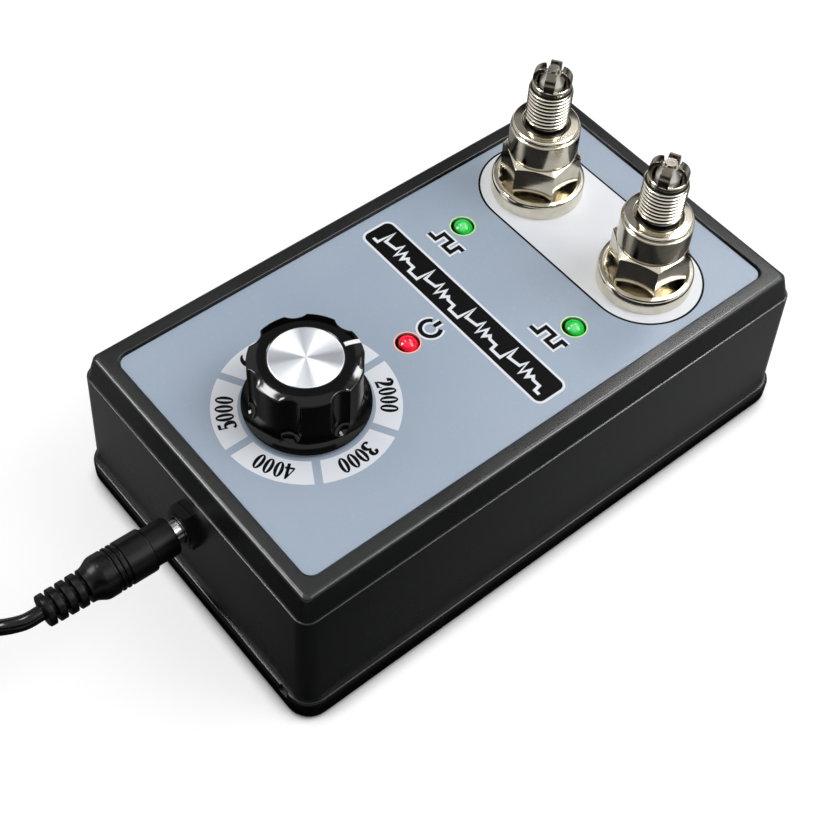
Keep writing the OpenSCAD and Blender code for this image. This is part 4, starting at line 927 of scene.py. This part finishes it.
def make_plug(side):
    name, body = SIDE_NAMES[side], f"plug_{SIDE_NAMES[side]}"
    place = at(side * SOCKET_X, SOCKET_Y, PLUG_Z)
    nut = solid(f"plug_body_{name}",
                moved(lathe([(HEX_R, 0), (HEX_R, HEX_H)], 6), place @ spun(HEX_TURN[side])))
    face_r, full_r, slope = HEX_R - 1.5, HEX_R + 0.05, 0.85
    cone = [(face_r, 0), (full_r, slope), (full_r, HEX_H - slope), (face_r, HEX_H)]
    carve(nut, moved(lathe(cone, 128), place), "INTERSECT")
    bevel = nut.modifiers.new("worn edges", "BEVEL")
    bevel.width = 0.18 * MM
    bevel.segments = 2
    bevel.limit_method = "ANGLE"
    bevel.angle_limit = math.radians(28)
    hexagon = taken(nut)
    crimp = hollow(eased([(5.25, 1), (5.25, -3), (6.8, -3), (6.8, 0.2)], {2: 0.9}))
    collar = hollow(eased([
        (6.6, HEX_H - 0.4), (7.3, HEX_H - 0.3), (7.3, 11.8), (8.1, 11.8), (8.1, 18.4), (5.2, 18.4),
        (5.2, HEX_H - 0.4)], {2: 0.12, 3: 0.3, 4: 0.5}), 128)
    top = THREAD_FOOT + THREAD_TURNS
    mouth = hollow(eased([
        (CORE_R, top), (CORE_R, SHELL_END), (3.5, SHELL_END), (3.5, 19), (3.55, 19), (3.55, top)],
        {1: 0.35, 2: 0.15}))
    shell = solid(f"plug_body_{name}", joined(hexagon, *(moved(s, place) for s in (crimp, collar, mouth))))
    placed(shell, PLUG_NICKEL[side], body, [f"plug_shell_{name}"])

    # The neck takes the thread's finish, so it is painted dark as shade below the thread
    neck = [(CORE_R, top), (3.6, top), (3.6, 18.4), (5.2, 18.4), (CORE_R, 19.2), (CORE_R, THREAD_FOOT)]
    thread = merged(joined(lathe(neck, 72, caps=False), thread_skin()))
    placed(solid(f"plug_thread_{name}", moved(thread, place)), THREAD_NICKEL[side], body)

    section = eased([(6.5, 18.4), (7.7, 18.4), (7.7, 19.45), (5.35, 19.7), (5.35, 18.4), (6.5, 18.4)],
                    {1: 0.3, 2: 0.5, 3: 0.35, 4: 0.2})
    washer = solid(f"washer_{name}", moved(hollow(section[:-1], 128), place))
    placed(washer, SOCKET_NICKEL[side], body, [f"plug_gasket_{name}"])

    claws = []
    for k in range(4):
        claws.append(moved(claw(), place @ spun(CLAW_TURN[side] + 90 * k) @ at(0, 0, SHELL_END)))
    crown = solid(f"claws_{name}", joined(*claws))
    placed(crown, SHADED_CLAW_ALLOY, body, [f"plug_claws_{name}"])


for side in SIDES:
    make_socket(side)
    make_plug(side)


# Knob

SCOOPS, SCOOP_R, SCOOP_PLACE, SCOOP_Z = 7, 3.4, 14.4, 49.55
GRIP_R, SKIRT_R, CAP_R = 12.2, 13.9, 7.9
FLARE_H = 4.5
EDGE_RUN, EDGE_H = 0.45, 0.5
DOME_IN_R, DOME_DROP = 8.4, 0.5


def knob_loop(r, z, inset=0.0):
    """The knob's outline at a height: arcs of its turned profile and of its finger scoops, softly met."""
    low = max(0.0, SCOOP_Z - z)
    scoop = math.sqrt(max(0.0, SCOOP_R ** 2 - low ** 2))
    cut = SCOOP_PLACE - scoop < r
    half = math.acos((SCOOP_PLACE ** 2 + r * r - scoop ** 2) / (2 * SCOOP_PLACE * r)) if cut else 0.0
    half = max(half, math.radians(0.8))
    pitch = math.tau / SCOOPS
    lobe, dip, soft = 14, 16, 0.2
    path, corners = [], {}
    for k in range(SCOOPS):
        middle = math.radians(POINTER_DEG) + pitch * (k + 0.5)
        offs = [-pitch / 2 + (pitch / 2 - half) * i / lobe for i in range(lobe)]
        offs += [-half + 2 * half * i / dip for i in range(dip + 1)]
        offs += [half + (pitch / 2 - half) * i / lobe for i in range(1, lobe)]
        corners.update({len(path) + lobe: soft, len(path) + lobe + dip: soft})
        for off in offs:
            reach = scoop ** 2 - (SCOOP_PLACE * math.sin(off)) ** 2
            inside = cut and abs(off) <= half and reach > 0
            rho = min(r, SCOOP_PLACE * math.cos(off) - math.sqrt(reach)) if inside else r
            path.append(((rho - inset) * math.cos(middle + off), (rho - inset) * math.sin(middle + off)))
    return [(x, y, z) for x, y in eased(path, corners, 3)]


def dome_z(r):
    """Height of the knob's domed top, which is level round the cap."""
    return KNOB_TOP - DOME_DROP * (max(0.0, r - DOME_IN_R) / (GRIP_R - EDGE_RUN - DOME_IN_R)) ** 2


def make_knob():
    shaft_r, recess_r, recess_top, steps = 3.05, 9, KNOB_FOOT + 3.8, 40
    turns = [math.radians(a) for a in range(0, 91, 10)]
    flare = [(GRIP_R + (SKIRT_R - GRIP_R) * (1 - k / steps) ** 2, KNOB_FOOT + 0.8 + FLARE_H * (k / steps))
             for k in range(steps + 1)]
    foot = eased([(recess_r, KNOB_FOOT), (SKIRT_R, KNOB_FOOT), (SKIRT_R, KNOB_FOOT + 0.75)], {1: 0.35})
    profile = [(shaft_r, recess_top), (recess_r, recess_top)] + foot + flare
    loops = [knob_loop(r, z) for r, z in profile]
    loops += [knob_loop(GRIP_R, z) for z in (50.2, 52.5, 55.5, KNOB_TOP - DOME_DROP - EDGE_H - 0.3)]
    # The rounded edge follows the dome where the scoops cut into it
    brow = [(x, y, dome_z(math.hypot(x, y))) for x, y, _ in knob_loop(GRIP_R, KNOB_TOP, EDGE_RUN)]
    for a in turns:
        outline = knob_loop(GRIP_R, KNOB_TOP, EDGE_RUN * (1 - math.cos(a)))
        loops.append([(x, y, top - EDGE_H * (1 - math.sin(a)))
                      for (x, y, _), (_, _, top) in zip(outline, brow)])
    for share in (0.2, 0.4, 0.6, 0.8, 1.0):
        loop = []
        for x, y, _ in brow:
            rho = math.hypot(x, y)
            r = rho + (DOME_IN_R - rho) * share
            loop.append((x * r / rho, y * r / rho, dome_z(r)))
        loops.append(loop)
    seat_r, seat_drop = CAP_R + 0.05, 0.6
    for r, drop in ((8.1, 0), (seat_r, 0.1), (seat_r, seat_drop), (0.01, seat_drop)):
        loops.append([(x * r / math.hypot(x, y), y * r / math.hypot(x, y), KNOB_TOP - drop)
                      for x, y, _ in brow])
    knob = solid("knob_body", moved(loft(loops), at(0, KNOB_Y)))
    # The grub screw's bore, in the next lobe
    aim = at(0, KNOB_Y, KNOB_FOOT + 6) @ spun(POINTER_DEG + 360 / SCOOPS) @ spun(90, "Y")
    grub_r = 1.55
    carve(knob, moved(lathe([(grub_r, 4), (grub_r, SKIRT_R + 1)], 32), aim))
    placed(knob, KNOB_PHENOLIC, "knob", ["knob"], sharp_deg=40)

    low, high = KNOB_TOP - 0.55, KNOB_TOP + 0.15
    disc = lathe(eased([(0.001, low), (CAP_R, low), (CAP_R, high), (0.001, high)], {2: 0.2}), 128)
    cap = solid("knob_disc", moved(disc, at(0, KNOB_Y)))
    placed(cap, CAP_ALUMINIUM, "knob", ["knob_cap"])

    # The pointer is a filled line on the top, which ends on the rounded edge
    half_w, sunk, out, proud = 0.52, 0.15, 0.02, 0.03
    line = [(r, dome_z(r)) for r in (8.6, 9.2, 9.8, 10.4, 11.0, 11.5)]
    line += [(GRIP_R - EDGE_RUN * (1 - math.cos(a)), KNOB_TOP - DOME_DROP - EDGE_H * (1 - math.sin(a)))
             for a in turns[::-1]]
    loops = [[(r - sunk, -half_w, z - sunk), (r + out, -half_w, z + proud), (r + out, half_w, z + proud),
              (r - sunk, half_w, z - sunk)] for r, z in line]
    aim = at(0, KNOB_Y) @ spun(POINTER_DEG)
    placed(solid("knob_pointer", moved(loft(loops), aim)), POINTER_INK, "knob")


make_knob()


# Lead and wall adapter; the lead's profile is radius and distance out along the jack

def make_lead():
    bore_r, bore_end, nose, nose_r, step = 2.8, 7.9, 4.5, 4.4, 10.4
    grip, groove_r, rib_r, taper = 5.0, 2.3, 3.8, 0.07
    rings, ring_at, ring_step = 3, 16.7, 1.25
    slope_at, slope_run, slope_steps = 21.8, 3.3, 10
    ribs, rib_at, rib_step = 4, 25.5, 2.45
    profile = eased([(bore_r, bore_end), (bore_r, nose), (nose_r, nose), (nose_r, step), (grip, step),
                     (grip, 16.1)], {2: 0.5, 4: 0.45})
    for k in range(rings):
        s = ring_at + ring_step * k
        profile += [(grip, s - 0.42), (grip - 0.12, s - 0.34), (grip - 0.4, s - 0.22), (grip - 0.45, s),
                    (grip - 0.4, s + 0.22), (grip - 0.12, s + 0.34), (grip, s + 0.42)]
    profile += [(rib_r + (grip - rib_r) * (1 + math.cos(math.pi * u)) / 2, slope_at + slope_run * u)
                for u in [k / slope_steps for k in range(slope_steps + 1)]]
    for k in range(ribs):
        s, before, after = rib_at + rib_step * k, rib_r - taper * max(k - 1, 0), rib_r - taper * k
        profile += eased([(before, s - 0.3), (before, s), (groove_r, s + 0.1), (groove_r, s + 0.85),
                          (after, s + 0.95), (after, s + 1.6)], {1: 0.1, 4: 0.1})
    inner_r = CORD_R - 0.1
    profile += eased([(after, 34.5), (after, LEAD_END), (inner_r, LEAD_END)], {1: 0.4})
    moulding = solid("lead_moulding", moved(hollow(profile + [(inner_r, bore_end)], 72), JACK))
    placed(moulding, LEAD_PVC, "power_lead", ["lead_plug"])


def make_tie():
    """A flat nylon band round the coil, with its lock on the outside."""
    thick, half_w, in_w, in_h, soft, bearing = 0.8, 2.5, 13.5, 15.7, 0.3, 200
    outer = rounded_loop(in_w / 2 + thick, in_h / 2 + thick, 2.2, 0, 6)
    inner = rounded_loop(in_w / 2, in_h / 2, 1.4, 0, 6)
    loops = []
    for (xo, yo, _), (xi, yi, _) in zip(outer, inner):
        ex, ey = xo + (xi - xo) * 0.015, yo + (yi - yo) * 0.015
        loops.append([(xi, yi, -half_w), (ex, ey, -half_w), (xo, yo, soft - half_w),
                      (xo, yo, half_w - soft),
                      (ex, ey, half_w), (xi, yi, half_w)])
    band = merged(loft(loops + loops[:1], caps=False))
    lock = loft([rounded_loop(2.0, 2.4, 0.5, z) for z in (-2.4, 2.4)])
    lock = moved(lock, at(in_w / 2 - 1.6, in_h / 2 + thick - 0.1) @ spun(90))
    middle = (COIL_OUT + COIL_IN) / 2
    stand = at(*COIL_AT) @ spun(bearing) @ at(middle, 0, thick + in_h / 2) @ spun(90, "X")
    tie = solid("tie_band", moved(joined(band, lock), stand))
    return placed(tie, TIE_NYLON, "power_lead", ["cord_tie"])


def make_adapter():
    middle, relief_at = at(22, -165), at(-12, -165, 14.6)
    wall, split_z, top_z = (24, 18, 4), 20.2, 29.2
    low = eased([(*wall, split_z), (*wall, 0), (22, 16, 2, 0)], {1: 1.4})
    body = solid("adapter_body", moved(loft([rounded_loop(*p) for p in low[::-1]]), middle))
    placed(body, ADAPTER_PC, "power_lead", ["adapter_case"])
    high = eased([(*wall, split_z), (*wall, top_z), (21, 15, 1, top_z)], {1: 1.6})
    seam = [(23.6, 17.6, 3.6, split_z), (23.6, 17.6, 3.6, 20.6), (*wall, 20.9)]
    lid = solid("adapter_top", moved(loft([rounded_loop(*p) for p in seam + high[1:]]), middle))
    placed(lid, ADAPTER_PC, "power_lead", ["adapter_lid"])
    fins, fin_step, fin_r, widening, fin_h = 5, 1.9, 2.5, 0.24, 0.5
    sleeve = [(CORD_R - 0.1, 0)]
    for k in range(fins):
        s, r = fin_step * k, fin_r + widening * k
        sleeve += eased([(r - fin_h, s), (r - fin_h, s + 0.3), (r, s + 0.42), (r, s + 1.3),
                         (r - fin_h, s + 1.42)],
                        {2: 0.18, 3: 0.18})
    sleeve += [(3.2, 9.6), (3.7, 10), (1.0, 10)]
    relief = solid("adapter_sleeve", moved(hollow(sleeve, 48), relief_at @ spun(90, "Y")))
    placed(relief, LEAD_PVC, "power_lead", ["adapter_relief"])
    return [body, lid, relief]


make_lead()
tie = make_tie()
adapter = make_adapter()


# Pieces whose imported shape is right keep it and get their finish

FINISHES = {
    "base_screws": SCREW_STEEL, "socket_nuts": STAMPED_STEEL, "ground_strap": BRASS, "contact_cups": NYLON,
    "contact_springs": SPRING_STEEL, "contact_buttons": BRASS, "ignition_coil_left": EPOXY,
    "ignition_coil_right": EPOXY, "coil_pins": TINNED, "hv_leads": WIRE_RED, "circuit_board": BOARD_GLASS,
    "board_screws": SCREW_STEEL, "timer_chip": CHIP_EPOXY, "board_components": CAN_SLEEVE,
    "drive_transistors": CHIP_EPOXY, "lamp_legs": TINNED, "pot_case": STAMPED_STEEL, "pot_bushing": BRASS,
    "pot_nut": STAMPED_STEEL, "pot_track": PAXOLIN, "jack_body": JACK_NYLON, "jack_contacts": TINNED,
    "jack_nut": JACK_NYLON, "jack_wires": WIRE_RED, "knob_grub_screw": DARK_STEEL, "pot_shaft": SCREW_STEEL,
    "pot_wiper": PAXOLIN, "lead_barrel": BARREL_NICKEL, "adapter_pins": BARREL_NICKEL,
    "adapter_supply": POTTING,
}
for name in SIDE_NAMES.values():
    FINISHES[f"plug_insulator_{name}"] = CERAMIC
    FINISHES[f"plug_terminal_{name}"] = BARREL_NICKEL
    FINISHES[f"plug_centre_{name}"] = ELECTRODE
for name, finish in FINISHES.items():
    made = frame["nodes"][name]
    if made.material_slots:
        for each in made.material_slots:
            each.material = finish
    else:
        made.data.materials.append(finish)


# Floor, light and backdrop

SQUARE = ((-1, -1), (1, -1), (1, 1), (-1, 1))


def seen_in_picture(tree):
    """One for rays that show a surface: the camera's, and those that metal or a clear piece passes on."""
    path = node(tree, "ShaderNodeLightPath", {})
    either = node(tree, "ShaderNodeMath",
                  {0: path.outputs["Is Camera Ray"], 1: path.outputs["Is Glossy Ray"]}, operation="MAXIMUM")
    return node(tree, "ShaderNodeMath", {0: either.outputs[0], 1: path.outputs["Is Transmission Ray"]},
                operation="MAXIMUM").outputs[0]


def make_floor():
    """White paper sweep: it keeps the soft shadow at the part's foot, and reads as white away from it."""
    half, level = 3000, -0.05
    floor = solid("floor", ([(half * x, half * y, level) for x, y in SQUARE], [(0, 1, 2, 3)]))
    made, tree, shader, place = start("white paper, matt")
    fibre = node(tree, "ShaderNodeTexNoise", {"Vector": place, "Scale": per_mm(3), "Detail": 3.0})
    relief = node(tree, "ShaderNodeBump",
                  {"Height": fibre.outputs["Fac"], "Strength": 1.0, "Distance": 0.002 * MM})
    wire(tree, shader, {"Base Color": linear("#b4b4b4"), "Roughness": 0.9, "Specular IOR Level": 0.0,
                        "Normal": relief.outputs["Normal"]})
    shade = node(tree, "ShaderNodeAmbientOcclusion", {"Distance": 6 * MM}, samples=8)
    clear = node(tree, "ShaderNodeMapRange", {
        "Value": shade.outputs["AO"], "From Min": 0.4, "From Max": 0.72, "To Min": 0.0, "To Max": 0.68})
    glow = node(tree, "ShaderNodeMath", {0: seen_in_picture(tree), 1: clear.outputs["Result"]},
                operation="MULTIPLY")
    wire(tree, shader, {"Emission Color": linear("#ffffff"), "Emission Strength": glow.outputs[0]})
    floor.data.materials.append(made)


def make_world():
    world = bpy.data.worlds.new("white studio")
    bpy.context.scene.world = world
    world.use_nodes = True
    tree = world.node_tree
    level = node(tree, "ShaderNodeMapRange", {"Value": seen_in_picture(tree), "To Min": 0.66, "To Max": 1.0})
    wire(tree, tree.nodes["Background"], {"Color": linear("#ffffff"), "Strength": level.outputs["Result"]})


def facing(place, aim, up=(0, 0, 1)):
    """The stand of something at a place that looks at the aim, with its own Y towards up."""
    back = (Vector(place) - Vector(aim)).normalized()
    right = Vector(up).cross(back).normalized()
    return Matrix.Translation(place) @ Matrix((right, back.cross(right), back)).transposed().to_4x4()


def make_light(name, place, aim, size, watts):
    data = bpy.data.lights.new(name, "AREA")
    data.shape = "RECTANGLE"
    data.size, data.size_y = size
    data.energy = watts
    lamp = bpy.data.objects.new(name, data)
    lamp.matrix_world = facing(place, aim)
    bpy.context.collection.objects.link(lamp)


def make_card(name, stand, size, near, far, run=(-1, 1)):
    """A card that only reflections see, as set round metal in a studio; its glow runs along its Y."""
    mesh = bpy.data.meshes.new(name)
    mesh.from_pydata([(x * size[0] / 2, y * size[1] / 2, 0) for x, y in SQUARE], [], [(0, 1, 2, 3)])
    card = bpy.data.objects.new(name, mesh)
    card.matrix_world = stand
    bpy.context.collection.objects.link(card)
    for rays in ("camera", "diffuse", "shadow", "transmission"):
        setattr(card, f"visible_{rays}", False)
    made, tree, shader, spot = start(f"card, {name}")
    parts = node(tree, "ShaderNodeSeparateXYZ", {"Vector": spot})
    glow = node(tree, "ShaderNodeMapRange", {
        "Value": parts.outputs["Y"], "From Min": run[0], "From Max": run[1], "To Min": near, "To Max": far})
    wire(tree, shader, {"Base Color": linear("#000000"), "Roughness": 1.0, "Specular IOR Level": 0.0,
                        "Emission Color": linear("#ffffff"), "Emission Strength": glow.outputs["Result"]})
    mesh.materials.append(made)


make_floor()
make_world()
make_light("key", (0.45, 0.5, 0.9), (0, 0, 0.03), (0.6, 0.6), 5.0)
MIDDLE = (0, 0, 0.04)
for name, place, size, glow in (
        ("overhead", (-0.42, 0.28, 0.75), (0.5, 0.5), 0.28),
        ("window right", (0.514, 0.334, 0.514), (0.25, 0.25), 16.0),
        ("window left", (-0.362, -0.516, 0.493), (0.25, 0.25), 28.0),
        ("strip left", (-0.387, -0.085, 0.869), (0.22, 0.12), 36.0),
        ("strip right", (-0.108, 0.509, 0.761), (0.2, 0.12), 36.0)):
    make_card(name, facing(place, MIDDLE), size, glow, glow)
# Two cards lie on the floor: a table that is darker on the camera's side, and a black card close round the
# part, painted contact shade that reflections see
SKY = (0, 0, 1)
make_card("table", facing((0, 0, -0.00003), SKY, (-0.74, 0.67, 0)), (0.5, 0.5), 0.03, 0.26, (-0.085, 0.01))
make_card("foot", facing((0, 0, -0.00002), SKY, (0, 1, 0)), (0.0912, 0.1524), 0.0, 0.0)
# Four flags stand round the part, black above and bright at their foot, less so on the camera's side
FLAG_AWAY, FLAG_UP = 1.2, Vector((0, 0, 0.6))
for bearing, low in ((-42, 0.12), (48, 0.9), (138, 0.9), (228, 0.9)):
    way = Vector((math.cos(math.radians(bearing)), math.sin(math.radians(bearing)), 0))
    stand = facing(FLAG_AWAY * way + FLAG_UP, FLAG_UP)
    make_card(f"flag {bearing}", stand, (2.4, 0.8), low, 0.0, (-0.35, 0.0))

bpy.context.scene.view_settings.view_transform = "Standard"
